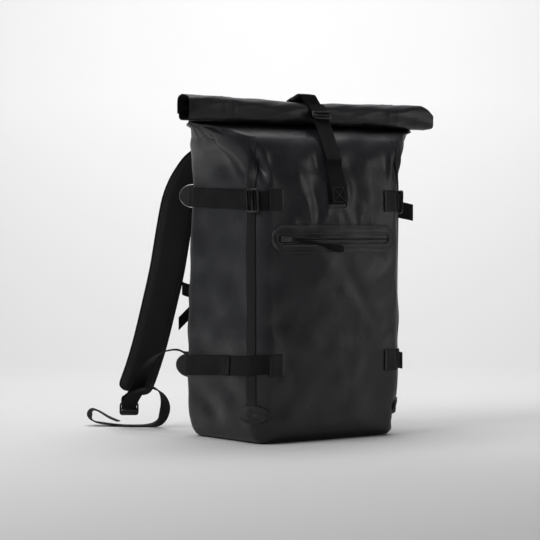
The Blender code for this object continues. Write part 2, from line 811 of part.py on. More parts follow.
def make_lower_strap(side, name, webbing):
    """Strap along the side and round the front corner to its patch, with a second layer on it."""
    w = columns_between(*side_ends(side, LOOP_W[0], STRAP_W[1]))
    middle = strap_middle(w, LOWER_STRAP_Z, LOWER_STRAP_FALL)
    before = SEAM_W[0] - SEAM_STEP_W[0] - np.abs(w)
    lift = mix(strap_lift(w, SEAM_LIFT), GAP, np.clip(before / SEAM_STEP_W[0], 0, 1))
    laid_strip(f"side_strap_lower_{name}", w, middle, WEBBING_WIDTH, lift, WEBBING, webbing)
    w = columns_between(*side_ends(side, *LAYER_W))
    laid_strip(
        f"side_strap_layer_{name}",
        w,
        strap_middle(w, LOWER_STRAP_Z, LOWER_STRAP_FALL),
        WEBBING_WIDTH + 2 * LAYER_PROUD,
        strap_lift(w, SEAM_LIFT) + WEBBING + GAP,
        WEBBING,
        webbing,
    )


def make_side_tails(webbing):
    """The right side's two free ends, standing out from the straps at the front corner."""
    for name, base, fall, length, below in (
        ("side_tail_upper_right", UPPER_STRAP_Z, UPPER_STRAP_FALL, SIDE_TAIL_LENGTH, SIDE_TAIL_BELOW),
        ("side_tail_lower_right", LOWER_STRAP_Z, LOWER_STRAP_FALL, LOWER_TAIL_LENGTH, 0.0),
    ):
        at = np.array(SIDE_TAIL_W)
        start = lifted(at, float(strap_middle(at, base, fall)) - below, SEAM_LIFT + WEBBING + GAP)
        path = start + np.linspace(0, 1, 4)[:, None] * np.array(SIDE_TAIL_WAY) * length
        up = [[0.0, 0.0, 1.0]] * len(path)
        ribbon(name, path, up, SIDE_TAIL_WIDTH, WEBBING, webbing, square=False)


# Zip pocket

def racetrack(length, height, count):
    """Points round a stadium in x and z, the same number for every size."""
    radius = height / 2
    turn = np.linspace(-pi / 2, pi / 2, count)
    right = np.stack([length / 2 - radius + radius * np.cos(turn), radius * np.sin(turn)], -1)
    straight = np.linspace(1, -1, count)[1:-1] * (length / 2 - radius)
    top = np.stack([straight, straight * 0 + radius], -1)
    return np.concatenate([right, top, -right, -top])


def make_zip(cloth, tape, metal, webbing):
    """Raised surround, toothed tape in its window, slider and long flat pull."""
    outer = racetrack(ZIP_LENGTH, ZIP_HEIGHT, ZIP_TURN_POINTS)
    inner = racetrack(ZIP_LENGTH - ZIP_HEIGHT + ZIP_WINDOW, ZIP_WINDOW, ZIP_TURN_POINTS)
    track = np.stack([inner, outer, outer, inner], axis=1)
    z = ZIP_Z + track[..., 1]
    lift = GAP + np.array([0, 0, 1, 1]) * ZIP_THICKNESS + 0 * z
    hoop("zip_surround", lifted(front_w(track[..., 0], z), z, lift), cloth)
    reach = (ZIP_LENGTH - ZIP_HEIGHT) / 2
    x = np.linspace(-reach, reach, ZIP_STATIONS)
    across, rise = np.array(ZIP_TEETH).T * [[ZIP_WINDOW - 2 * GAP], [ZIP_THICKNESS]]
    x, z = np.meshgrid(x, ZIP_Z + across, indexing="ij")
    w = front_w(x, z)
    slab("zip_tape", lifted(w, z, GAP + 0 * z), lifted(w, z, GAP + rise + 0 * z), tape)
    lift = GAP + ZIP_THICKNESS + GAP
    w = front_w(np.array(ZIP_SLIDER_X), ZIP_Z)
    slider = (ZIP_SLIDER_LENGTH, ZIP_SLIDER_WIDTH, PLASTIC)
    plate("zip_slider", slider, [], seat(w, ZIP_Z, lift + PLASTIC / 2), metal)
    start = ZIP_SLIDER_X + ZIP_SLIDER_LENGTH / 2 + GAP
    share, width = np.array(ZIP_PULL_SHAPE).T
    x = start + share * ZIP_PULL_LENGTH
    middle = ZIP_Z - ZIP_PULL_DROP * share
    z = middle[:, None] + ZIP_PULL_WIDTH * width[:, None] * [-0.5, 0.5]
    w = front_w(x[:, None] + 0 * z, z)
    slab("zip_pull", lifted(w, z, lift + 0 * z), lifted(w, z, lift + WEBBING + 0 * z), webbing)


# Roll closure

def make_closure(webbing, plastic):
    """Front strap from its stitched foot up over the roll to a fastened buckle, and the back strap."""
    foot, top = CLOSURE_FOOT_Z, CLOSURE_FOOT_Z + CLOSURE_STITCH
    half = float(front_w(np.array(CLOSURE_PATCH_WIDTH / 2), foot))
    cover("closure_patch", (-half, half), (foot, top), GAP, WEBBING, webbing)
    centre = roll_path(radians(BUCKLE_TURN), 0.0, ROLL_SHEET / 2 + GAP + BUCKLE_THICKNESS / 2)
    centre[0] += BUCKLE_SHIFT
    up = roll_out(radians(BUCKLE_TURN))
    forwards = np.array([0.0, -up[2], up[1]])
    reach = forwards * (BUCKLE_LENGTH / 2 + GAP)
    lead = forwards * BUCKLE_THICKNESS / 2
    on_roll = ROLL_SHEET / 2 + GAP + WEBBING / 2
    rows = rows_between(foot, CLOSURE_LIFTS_OFF * BAG_HEIGHT)
    sewn = lifted(0 * rows, rows, 2 * (GAP + WEBBING))
    turn, shift = np.array(CLOSURE_WRAP).T
    wrapped = roll_path(np.radians(turn), 0.0, on_roll)
    wrapped[:, 0] += shift * BUCKLE_SHIFT
    path = np.concatenate([sewn, wrapped, [centre + reach + lead, centre + reach]])
    level = [[1.0, 0.0, 0.0]]
    across = level * len(path)
    ribbon("closure_strap_front", path, across, WEBBING_WIDTH, WEBBING, webbing, square=False)
    turn, shift = np.array(BACK_WRAP).T
    wrapped = roll_path(np.radians(turn), 0.0, on_roll)
    wrapped[:, 0] += shift * BUCKLE_SHIFT
    rows = rows_between(CLOSURE_BACK_Z - CLOSURE_STITCH, BACK_LIFTS_OFF * BAG_HEIGHT)[::-1]
    sewn = lifted(np.full(len(rows), BACK_CENTRE), rows, 2 * GAP + WEBBING / 2)
    sewn[:, 0] = 0.0
    path = np.concatenate([[centre - reach, centre - reach - lead], wrapped, sewn])
    across = level * len(path)
    ribbon("closure_strap_back", path, across, WEBBING_WIDTH, WEBBING, webbing, square=False)
    make_buckle(centre, forwards, up, plastic)
    low = lifted(0.0, CLOSURE_LIFTS_OFF * BAG_HEIGHT, 2 * (GAP + WEBBING))
    high = roll_path(radians(CLOSURE_WRAP[0][0]), 0.0, on_roll)
    lean = unit(high - low)
    out = np.array([0.0, -lean[2], lean[1]])
    middle = mix(low, high, SLIDER_SHARE) + out * (WEBBING / 2 + GAP + PLASTIC / 2)
    bar = WEBBING_WIDTH + 2 * GAP
    size = (bar + 2 * LOCK_RIM, SLIDER_HEIGHT, PLASTIC)
    plate("closure_slider", size, two_slots(SLIDER_HEIGHT, bar), frame_at(middle, out), plastic)


def roll_out(theta):
    """The roll's outward direction at its middle."""
    return unit(roll_path(theta, 0.0, ROLL_SHEET) - roll_path(theta, 0.0))


def two_slots(height, bar):
    """Slots above and below a middle bar, in a plate this high whose webbing is bar wide."""
    slot = (height - 3 * LOCK_RIM) / 2
    edge = height / 2 - LOCK_RIM
    return [(-bar / 2, bar / 2, -edge, slot - edge), (-bar / 2, bar / 2, edge - slot, edge)]


def frame_at(point, out, across=(1.0, 0.0, 0.0)):
    """A matrix at a point: x along across, z along out."""
    out = unit(np.asarray(out, float))
    across = np.asarray(across, float)
    across = unit(across - across.dot(out) * out)
    return Matrix.LocRotScale(
        Matrix.Translation(point).to_translation(),
        Matrix(np.stack([across, np.cross(out, across), out], axis=-1).tolist()),
        None,
    )


def make_buckle(centre, forwards, up, plastic):
    """A fastened side-release buckle: the socket with its open mouth, and the plug in it."""
    across = np.cross(forwards, up)

    def box_at(offset_along):
        return frame_at(centre + forwards * offset_along, forwards, across)

    half_x = BUCKLE_WIDTH / 2 - SOCKET_WALL
    half_y = BUCKLE_THICKNESS / 2 - SOCKET_WALL
    size = (BUCKLE_WIDTH, BUCKLE_THICKNESS, SOCKET_LENGTH)
    place = box_at((SOCKET_LENGTH - BUCKLE_LENGTH) / 2)
    plate("closure_buckle_socket", size, [(-half_x, half_x, -half_y, half_y)], place, plastic)
    collar = BUCKLE_LENGTH - SOCKET_LENGTH - GAP
    size = (PLUG_WIDTH, PLUG_THICKNESS, collar)
    place = box_at((BUCKLE_LENGTH - collar) / 2)
    plate("closure_buckle_plug", size, [], place, plastic)


# Shoulder straps and what hangs from them

def strap_start():
    """The column of the left shoulder strap's sewn end."""
    half, _, _, _, corner, _ = section_at(STRAP_ANCHOR_Z)
    return STRAP_ANCHOR_X / (half - corner) - 5


def strap_rows():
    """Left strap: middle points, width direction turns, widths and thicknesses."""
    up, width, thickness = np.array(STRAP_SEWN_ROWS).T
    w = np.full(len(up), strap_start())
    sewn = lifted(w, STRAP_ANCHOR_Z + up * STRAP_SEWN, GAP + thickness * STRAP_THICKNESS / 2)
    start = sewn[-1]
    route = np.array(STRAP_ROUTE)
    span = np.array([-STRAP_SPREAD, STRAP_REACH, STRAP_ANCHOR_Z - STRAP_END_Z])
    base = np.array([start[0], start[1], STRAP_END_Z])
    free = base + route[:, :3] * span
    rows = np.concatenate([
        np.column_stack([sewn, 0 * up, width, thickness]),
        np.column_stack([free, route[:, 3:]]),
    ])
    return smooth(rows, 2)


def make_shoulder_strap(side, name, cloth):
    """A padded strap: a flat oval of eight corners along its route."""
    rows = strap_rows()
    path = rows[:, :3]
    across = turned(-rows[:, 3])
    along = unit(np.gradient(path, axis=0))
    across = unit(across - (across * along).sum(axis=-1, keepdims=True) * along)
    out = np.cross(along, across)
    width = rows[:, 4] * STRAP_WIDTH / 2
    thick = rows[:, 5] * STRAP_THICKNESS / 2
    corner = np.array(STRAP_PROFILE)
    rings = (
        path[:, None]
        + corner[None, :, :1] * (across * width[:, None])[:, None]
        + corner[None, :, 1:] * (out * thick[:, None])[:, None]
    )
    rings = mirrored(rings, side)
    count, size = rings.shape[:2]
    faces = ring_faces(count, size, closed=False)
    faces += [tuple(range(size)), tuple((count - 1) * size + j for j in range(size))]
    solid(f"shoulder_strap_{name}", rings.reshape(-1, 3), faces, cloth)


def lock_centre():
    """The left ladder lock's middle, below the strap's lower end."""
    start = strap_rows()[-1, :3]
    return np.array([start[0] - LOCK_OUT, start[1] + LOCK_BACK, LOCK_Z])


def lock_directions():
    """The left ladder lock's width direction and the side its webbing lies on."""
    across = turned(np.array(-VIEW_TURN))
    return across, unit(np.cross(across, [0.0, 0.0, 1.0]) + np.array([0.0, 0.0, LOCK_LEAN]))


def make_strap_end(side, name, webbing, plastic):
    """Ladder lock on its short loop, the webbing from the bag, and the free end on the floor."""
    lock = lock_centre()
    bar = END_WEBBING_WIDTH + 2 * GAP
    across, out = lock_directions()
    place = frame_at(mirrored(lock, side), mirrored(out, side), mirrored(across, side))
    size = (bar + 2 * LOCK_RIM, LOCK_LENGTH, PLASTIC)
    plate(f"strap_ladder_lock_{name}", size, two_slots(LOCK_LENGTH, bar), place, plastic)
    make_lower_webbing(side, name, lock, webbing)
    make_tail(side, name, lock, webbing)


def make_lower_webbing(side, name, lock, webbing):
    """Webbing sewn to the bag's lower back, rising and falling to the ladder lock."""
    w = np.array(LOWER_SEWN_W)
    sewn = lifted(w, 0 * w + LOWER_ANCHOR_Z, 0 * w + 2 * GAP + WEBBING / 2)
    route = np.array(LOWER_ROUTE)
    start = sewn[-1]
    across_lock, out = lock_directions()
    up = np.cross(out, across_lock)
    end = lock + out * (PLASTIC / 2 + 2 * GAP + WEBBING / 2) + up * LOCK_HALFWAY
    lead = end + up * LOCK_LEAD + out * WEBBING
    path = mix(start, end, route[:, :1])
    path[:, 0] -= route[:, 2] * STRAP_SPREAD
    path[:, 2] = mix(LOCK_Z, LOWER_ANCHOR_Z, route[:, 1])
    path = np.concatenate([[start], path, [lead, end]])
    across = np.concatenate([[[0.0, 0.0, 1.0]], turned(route[:, 3]), [across_lock] * 2])
    rows = smooth(np.column_stack([path, across]), 3)
    flat = np.column_stack([sewn[:-1], [[0.0, 0.0, 1.0]] * 2])
    rows = np.concatenate([flat, rows])
    path, across = mirrored(rows[:, :3], side), mirrored(rows[:, 3:], side)
    ribbon(f"lower_webbing_{name}", path, across, END_WEBBING_WIDTH, WEBBING, webbing)


def make_tail(side, name, lock, webbing):
    """The free end: up out of the lock, over and down to the floor, and its folded tip."""
    route = np.array(CURL_ROUTE)
    view = radians(VIEW_TURN)
    right = np.array([np.cos(view), -np.sin(view), 0.0])
    deep = np.array([np.sin(view), np.cos(view), 0.0])
    across_lock, out = lock_directions()
    up = np.cross(out, across_lock)
    rise = WEBBING / 2 + GAP + route[:, 1] * CURL_LENGTH
    start = lock + out * (PLASTIC / 2 + GAP + WEBBING / 2)
    start = start + up * (rise[0] - start[2]) / up[2]
    path = start + route[:, :1] * CURL_LENGTH * right + route[:, 2:3] * CURL_LENGTH * deep
    path[:, 2] = rise
    rows = smooth(np.column_stack([path, turned(route[:, 3])]), 3)
    path, across = mirrored(rows[:, :3], side), mirrored(rows[:, 3:], side)
    ribbon(f"strap_tail_{name}", path, across, END_WEBBING_WIDTH, WEBBING, webbing)


def sternum_side():
    """Where the left shoulder strap's inner edge carries the sternum strap."""
    rows = strap_rows()
    behind = rows[:, 1] > rows[0, 1] + STERNUM_FORWARD
    rows = rows[behind]
    rows = rows[np.argsort(rows[:, 2])]
    at = np.array([np.interp(STERNUM_Z, rows[:, 2], rows[:, k]) for k in range(3)])
    return at + [STRAP_WIDTH / 2 + 4 * GAP, -STERNUM_FORWARD, 0.0]


def make_sternum(webbing, plastic):
    """Sternum strap between the shoulder straps, its buckle and its hanging end."""
    edge = sternum_side()
    length = STERNUM_BUCKLE[0]
    middle = np.array([0.0, edge[1] + STERNUM_BACK, STERNUM_Z - STERNUM_SAG])
    share = np.linspace(0, 1, STERNUM_STATIONS)
    upright = [[0.0, 0.0, 1.0]] * STERNUM_STATIONS
    for side, name in ((-1, "left"), (1, "right")):
        path = mix(edge, middle - [length / 2 + 2 * GAP, 0.0, 0.0], share[:, None])
        path[:, 2] = STERNUM_Z - STERNUM_SAG * share**STERNUM_SAG_POWER
        path = mirrored(path, side)
        strap = f"sternum_strap_{name}"
        ribbon(strap, path, upright, STERNUM_WIDTH, WEBBING, webbing, square=False)
    place = frame_at(middle, (0.0, 1.0, 0.0))
    plate("sternum_buckle", STERNUM_BUCKLE, [], place, plastic)
    start = middle + [-length / 2 - 2 * GAP, WEBBING + GAP, -STERNUM_TAIL_SET]
    path = start + share[:, None] * np.array(STERNUM_TAIL)
    ribbon("sternum_tail", path, upright, STERNUM_WIDTH, WEBBING, webbing, square=False)


def main():
    for obj in list(bpy.data.objects):
        bpy.data.objects.remove(obj, do_unlink=True)
    coated = look("coated_fabric", (0.020, 0.021, 0.023), 0.55)
    band = look("seam_band", (0.012, 0.012, 0.014), 0.6)
    webbing = look("webbing", (0.008, 0.008, 0.009), 0.75)
    padded = look("strap_cloth", (0.010, 0.010, 0.012), 0.8)
    plastic = look("plastic", (0.006, 0.006, 0.007), 0.4)
    tape = look("zip_tape", (0.006, 0.006, 0.007), 0.5)
    metal = look("zip_metal", (0.05, 0.05, 0.055), 0.35, 1.0)
    make_body(coated)
    make_roll(coated)
    for side, name in ((-1, "left"), (1, "right")):
        make_side(side, name, webbing, band, plastic)
        make_shoulder_strap(side, name, padded)
        make_strap_end(side, name, webbing, plastic)
    make_side_tails(webbing)
    make_zip(coated, tape, metal, webbing)
    make_closure(webbing, plastic)
    make_sternum(webbing, plastic)


main()
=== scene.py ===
"""Rolltop backpack in black coated fabric: its shell, roll, webbing, zip, buckles and padded straps.

Metres, +Z up, the front towards -Y. Left is -X, as seen from the front. A place on the cloth is
given by w and z: |w| is 0 at the front's centre, 1 to 2 round the front corner, 3 to 4 round the
back corner and 5 at the back's centre, and the sign of w is the side.
"""

from math import pi, radians

import bpy
import numpy as np
from bpy.props import FloatProperty, FloatVectorProperty, IntProperty, PointerProperty
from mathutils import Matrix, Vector


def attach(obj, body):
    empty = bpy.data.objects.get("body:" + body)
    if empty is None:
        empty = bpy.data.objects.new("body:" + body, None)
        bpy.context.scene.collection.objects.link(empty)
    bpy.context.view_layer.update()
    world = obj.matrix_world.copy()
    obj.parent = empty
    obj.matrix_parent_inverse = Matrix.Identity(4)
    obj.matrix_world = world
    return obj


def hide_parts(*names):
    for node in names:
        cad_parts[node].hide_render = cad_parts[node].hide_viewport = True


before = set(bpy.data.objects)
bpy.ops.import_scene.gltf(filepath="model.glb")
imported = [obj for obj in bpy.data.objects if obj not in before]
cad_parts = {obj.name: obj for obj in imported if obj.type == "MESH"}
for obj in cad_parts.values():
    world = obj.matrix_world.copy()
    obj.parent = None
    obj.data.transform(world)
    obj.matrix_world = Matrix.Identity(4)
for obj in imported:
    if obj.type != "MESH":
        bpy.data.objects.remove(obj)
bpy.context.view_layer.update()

bl_info = {
    "name": "Rolltop backpack",
    "version": (1, 0, 0),
    "blender": (4, 5, 0),
    "location": "View3D > Sidebar > Backpack",
    "description": "Builds the surfaces and finishes of a rolltop backpack round its packed frame",
    "category": "Add Mesh",
}

ROOT = "root"
SIDES = ((-1, "left"), (1, "right"))

# Gaps and thicknesses
GAP = 0.0005
CLOTH = 0.002
WEBBING = 0.0018
PLASTIC = 0.004

# Stitching: radius of the thread and distance between two stitches
THREAD = 0.0004
FINE_THREAD = 0.0003
PITCH = 0.0042
BOX_PITCH = 0.0034
PATCH_PITCH = 0.0032

# Distances between two stations along a band, and along a short one
BAND_CELL = 0.003
FINE_CELL = 0.0016

# Directions
UPRIGHT = (0.0, 0.0, 1.0)
ACROSS = (1.0, 0.0, 0.0)

# Bag body
BAG_WIDTH = 0.292
FRONT_REACH = 0.106
BACK_REACH = 0.098
BAG_HEIGHT = 0.491
FRONT_CORNER = 0.028
BACK_CORNER = 0.025
FRONT_BULGE = 0.009
BOTTOM_ROUND = 0.038
BOTTOM_TUCK = 0.021
DENT_DEPTH = 0.006
FULL_ROUND = 0.46
FRONT_ROUND = 0.7
SMALLEST_CORNER = 0.3
STEP = 0.0004
SHOULDER_UP = 0.955
BACK_FADE = 0.4
FLAT_FOOT = 0.004
FOOT_FADE = 0.030
NECK_FADE = 0.010
CLOTH_WEAVE = 0.0011

# Neck and roll
NECK_WIDTH = 0.444
NECK_DEPTH = 0.009
NECK_SET_BACK = 0.076
NECK_RISE = 0.012
NECK_FIRST = 0.25
ROLL_LENGTH = 0.490
ROLL_DEPTH = 0.034
ROLL_HEIGHT = 0.042
ROLL_SHEET = 0.0026
ROLL_SAG = 0.002
ROLL_SINK = 0.0127
ROLL_TURNS = 1.9
ROLL_TUCK = 0.22
ROLL_BOXY = 2.5
ROLL_END_BOXY = 1.3
ROLL_RECESS = 0.030
WELD_X = (-0.170, 0.158)
WELD_WIDTH = 0.020
WELD_RISE = 0.0009
WELD_FADE = 0.002
WELD_EDGE = 0.0016
ROLL_WRINKLE = 0.0008
WRINKLES = (
    # share of ROLL_WRINKLE, radians a radian of turn, radians a metre of width, phase
    (0.50, 3, 31, 0.0),
    (0.40, 5, -47, 1.3),
    (0.35, 2, 83, 0.4),
    (0.20, 9, 120, 0.0),
)
# heights above the floor between which the roll's cloth goes from painted shade on its lower half to
# pale on its upper half
ROLL_SHADE_Z = (0.509, 0.529)

# Webbing and its anchors on the body
WEBBING_WIDTH = 0.030
SEAM_BAND_THICKNESS = 0.001
SEAM_BAND_FOOT = 0.060
SEAM_BAND_TOP = 0.470
SEAM_PAD_Z = 0.047
SEAM_PAD = (0.062, 0.027)
SEAM_PAD_RISE = 0.0022
SEAM_RIDGE = 0.0006
SEAM_HOLLOW = 0.0004
SEAM_SINK = 0.0004
SEAM_FADE = 0.02
BAND_CLEAR = 0.0001
# heights between which painted shade darkens the band above its foot, and between which it turns pale
# again below its top
SEAM_FOOT_SHADE_Z = (0.060, 0.074)
SEAM_TOP_SHADE_Z = (0.385, 0.455)
UPPER_STRAP_Z = 0.378
LOWER_STRAP_Z = 0.116
UPPER_STRAP_FALL = 0.007
LOWER_STRAP_FALL = -0.009
PATCH_HEIGHT = 0.034
PATCH_BEAD = (0.0030, 0.0020)
TAB_LENGTH = 0.024
TAB_HEIGHT = 0.036
TAB_THICKNESS = 0.003
TAB_WIRE = 0.0017
TAB_STRIP = 0.005
# through (share of TAB_THICKNESS), size (share of the tab's)
TAB_ROWS = np.array((
    (-0.50, 0.90),
    (-0.42, 0.95),
    (-0.25, 0.97),
    (0.25, 0.97),
    (0.42, 0.95),
    (0.50, 0.90),
))
LEVELS = {
    # base, fall
    "upper": (UPPER_STRAP_Z, UPPER_STRAP_FALL),
    "lower": (LOWER_STRAP_Z, LOWER_STRAP_FALL),
}
SIDE_TAIL_LENGTH = 0.044
LOWER_TAIL_LENGTH = 0.024
SIDE_TAIL_WIDTH = 0.027
SIDE_TAIL_BELOW = 0.012
SIDE_TAIL_SAG = 0.0018
SIDE_TAIL_WAY = (0.96, -0.10, -0.16)
SIDE_TAILS = (
    # level, length, below the strap's middle
    ("upper", SIDE_TAIL_LENGTH, SIDE_TAIL_BELOW),
    ("lower", LOWER_TAIL_LENGTH, 0.0),
)
SEAM_LIFT = GAP + SEAM_BAND_THICKNESS + GAP
SEAM_W = (1.66, 2.03)
PATCH_W = (0.873, 1.22)
LOOP_W = (1.25, 1.64)
LOCK_W = 1.72
FRONT_STRAP_W = 1.90
STRAP_W = (2.00, 3.36)
SIDE_TAIL_W = 2.08
LAYER_W = (2.28, 3.30)
LAYER_WIDTH = WEBBING_WIDTH + 2 * GAP
TAB_W = 3.62
FALL_W = (2.0, 3.4)
FALL_BEFORE = -0.3
SEAM_CLEAR_W = 0.02
SEAM_STEP_W = (0.20, 0.25)

# Ladder locks
LOCK_LENGTH = 0.022
LOCK_RIM = 0.003
LOCK_BACKSET = 0.0005
LOCK_WIDTH = WEBBING_WIDTH + 2 * GAP + 2 * LOCK_RIM

# Zip pocket
ZIP_Z = 0.314
ZIP_LENGTH = 0.246
ZIP_HEIGHT = 0.044
ZIP_WINDOW = 0.015
ZIP_THICKNESS = 0.0016
ZIP_SLIDER_X = 0.025 - ZIP_LENGTH / 2
ZIP_SLIDER_LENGTH = 0.020
ZIP_SLIDER_WIDTH = 0.010
ZIP_PULL_LENGTH = 0.097
ZIP_PULL_WIDTH = 0.007
ZIP_PULL_DROP = 0.016
ZIP_BOX = (0.032, 0.013)
ZIP_TOOTH = 0.0022
ZIP_LIFT = GAP + ZIP_THICKNESS + GAP
ZIP_CLEAR = 0.0006
ZIP_SINK = 0.0002
ZIP_RING = (0.003, 0.0034)
ZIP_RING_WIRE = 0.0011
TAPE_RISE = 0.0005
TAPE_LINE = (0.0019, 0.0012)
TAPE_SPLIT = 0.0004
TOOTH_RISE = 0.0003
TOOTH_LINE = (0.0016, 0.0009)
SLIDER_THICKNESS = 0.0026
BRIDGE_THICKNESS = 0.0018
BRIDGE_LIFT = 0.0031
BOX_WIRE = (0.0017, 0.0013)
SLIDER_BODY = (
    # along, width, height
    (-0.50, 0.70, 0.5),
    (-0.46, 0.86, 0.9),
    (-0.25, 0.98, 1.0),
    (0.10, 0.86, 1.0),
    (0.40, 0.74, 0.9),
    (0.50, 0.60, 0.5),
)

# Roll closure
CLOSURE_FOOT_Z = 0.368
CLOSURE_STITCH = 0.028
CLOSURE_BACK_Z = 0.452
CLOSURE_PATCH_WIDTH = 0.0345
FOOT_OUTLINE = (0.040, 0.040, 0.006)
BUCKLE_SHIFT = -0.016
# turn round the roll, shift (share of BUCKLE_SHIFT)
CLOSURE_WRAP = np.array(((150.0, 0.00), (140.0, 0.16), (130.0, 0.36)))
BACK_WRAP = np.array(((26.0, 0.50), (16.0, 0.30), (6.0, 0.12)))
BUCKLE_WIDTH = 0.038
BUCKLE_LENGTH = 0.030
BUCKLE_THICKNESS = 0.009
BUCKLE_TURN = 72.0
SOCKET_LENGTH = 0.0174
SOCKET_BODY = (
    # along, width, height
    (-0.50, 0.80, 0.62),
    (-0.47, 0.90, 0.86),
    (-0.30, 0.98, 1.00),
    (0.30, 1.00, 1.00),
    (0.46, 1.00, 0.94),
    (0.50, 0.97, 0.80),
)
RIB = 0.0014
RIB_WIDTH = 0.0012
PRONG_WIDTH = 0.0034
PRONG_BACK = 0.003
FOOT_WELD = (0.0016, 0.0022)
SLIDER_HEIGHT = 0.014
SLIDER_SHARE = 0.82
CLOSURE_LIFTS_OFF = 0.898
BACK_LIFTS_OFF = 0.978
BACK_CENTRE = 4.9999
SEWN_ROWS = 12
DOUBLE_CLEAR = 0.0003

# Shoulder straps
STRAP_ANCHOR_X = 0.070
STRAP_ANCHOR_Z = 0.430
STRAP_SEWN = 0.020
STRAP_WIDTH = 0.062
STRAP_THICKNESS = 0.011
STRAP_WEAVE = 0.0015
PAD_SEAM = 0.80
PAD_CHANNEL = 0.045
QUILT = (
    # share of the thickness, radians a metre, phase
    (0.05, 95, 0.0),
    (0.04, 41, 2.0),
)
STRAP_REACH = 0.176
STRAP_SPREAD = 0.061
STRAP_END_Z = 0.070
LOCK_Z = 0.030
LOCK_LEAN = 0.2
LOCK_OUT = 0.002
LOCK_BACK = 0.011
LOCK_LEAD = 0.011
LOCK_HALFWAY = 0.0048
LOWER_ANCHOR_Z = 0.128
LOWER_SEWN_W = (-4.55, -4.30, -4.06)
CURL_LENGTH = 0.066
END_WEBBING_WIDTH = 0.025
END_LOCK_WIDTH = END_WEBBING_WIDTH + 2 * GAP + 2 * LOCK_RIM
END_FLAP = 0.84
STERNUM_WIDTH = 0.022
STERNUM_Z = 0.232
STERNUM_SAG = 0.012
STERNUM_SAG_POWER = 0.7
STERNUM_FORWARD = 0.010
STERNUM_BACK = 0.012
STERNUM_BUCKLE = (0.036, 0.026, 0.006)
STERNUM_TAIL = (-0.052, 0.006, -0.046)
STERNUM_TAIL_SET = 0.002

# Camera and stage
VIEW_TURN = 37.5
CAMERA = (-1.9893, -2.5345, 0.328)
CAMERA_FALL = 1.14
LENS = 134.4
SENSOR = 36.0
TARGET = (0.0, 0.0, 0.25)
BACKDROP_RADIUS = 1.2
BACKDROP_REACH = 1.5
BACKDROP_SPREAD = 14.0
BACKDROP_HEIGHT = 5.0
# painted shade on the floor and backdrop: colour shares at the floor and up the wall, and the height
# where the wall is palest
BACKDROP_SHADES = (0.84, 1.06)
BACKDROP_SHADE_Z = 0.7
LIGHTS = (
    # name, setting with its power, size, place, the point it faces
    ("left_softbox", "key", 1.1, (-1.7, 0.0, 1.75), TARGET),
    ("front_softbox", "front", 0.6, (-1.5, -1.9, 1.7), TARGET),
    ("right_softbox", "fill", 0.8, (1.9, -1.6, 0.75), TARGET),
    ("top_softbox", "top", 1.6, (-0.3, -0.2, 2.4), TARGET),
    ("wall_softbox", "wall", 1.8, (0.5, 0.6, 2.6), (1.5, 1.9, 0.8)),
)

# up: share of BAG_HEIGHT; spread: half-width; front_in, back_in: front and back;
# rounding: corner from its own radius to a full round; bulge: share of FRONT_BULGE.
SECTIONS = np.array((
    # up, spread, front_in, back_in, rounding, bulge
    (0.00, -0.024, 0.020, 0.004, 0.00, 0.10),
    (0.08, -0.012, 0.015, 0.000, 0.00, 0.30),
    (0.20, 0.00, 0.000, -0.008, 0.00, 0.75),
    (0.32, 0.00, 0.000, 0.002, 0.00, 0.95),
    (0.45, 0.00, 0.000, 0.016, 0.00, 1.00),
    (0.55, 0.00, 0.000, 0.040, 0.00, 1.00),
    (0.64, 0.00, 0.000, 0.065, 0.00, 0.95),
    (0.70, 0.00, 0.000, 0.090, 0.00, 0.92),
    (0.764, 0.008, 0.004, 0.113, 0.00, 0.85),
    (0.800, 0.018, 0.020, 0.117, 0.02, 0.70),
    (0.835, 0.046, 0.042, 0.121, 0.06, 0.50),
    (0.866, 0.118, 0.084, 0.130, 0.16, 0.38),
    (0.898, 0.230, 0.119, 0.146, 0.40, 0.30),
    (0.931, 0.400, 0.196, 0.194, 0.72, 0.20),
    (0.957, 0.500, 0.308, 0.324, 0.80, 0.10),
    (0.9776, 0.610, 0.503, 0.534, 0.88, 0.05),
    (0.9857, 0.750, 0.615, 0.648, 0.92, 0.00),
    (0.994, 0.940, 0.755, 0.769, 0.95, 0.00),
    (1.000, 0.990, 0.930, 0.923, 0.97, 0.00),
))

# Soft hollows, with up as a share of BAG_HEIGHT and depth as a share of DENT_DEPTH.
DENTS = (
    # w, up, spread_w, spread_up, depth
    (-2.40, 0.885, 0.30, 0.038, 1.00),
    (2.40, 0.885, 0.30, 0.038, 1.00),
    (-1.05, 0.880, 0.22, 0.045, 0.80),
    (1.05, 0.880, 0.22, 0.045, 0.80),
    (-0.32, 0.800, 0.12, 0.040, 0.35),
    (0.34, 0.790, 0.12, 0.040, 0.35),
    (-1.50, 0.100, 0.22, 0.018, 0.50),
    (1.50, 0.110, 0.22, 0.018, 0.40),
    (1.65, 0.045, 0.50, 0.055, 1.90),
    (-2.60, 0.180, 0.25, 0.050, 0.30),
    (-2.20, 0.560, 0.30, 0.120, 0.25),
    (2.50, 0.500, 0.40, 0.120, 0.30),
)

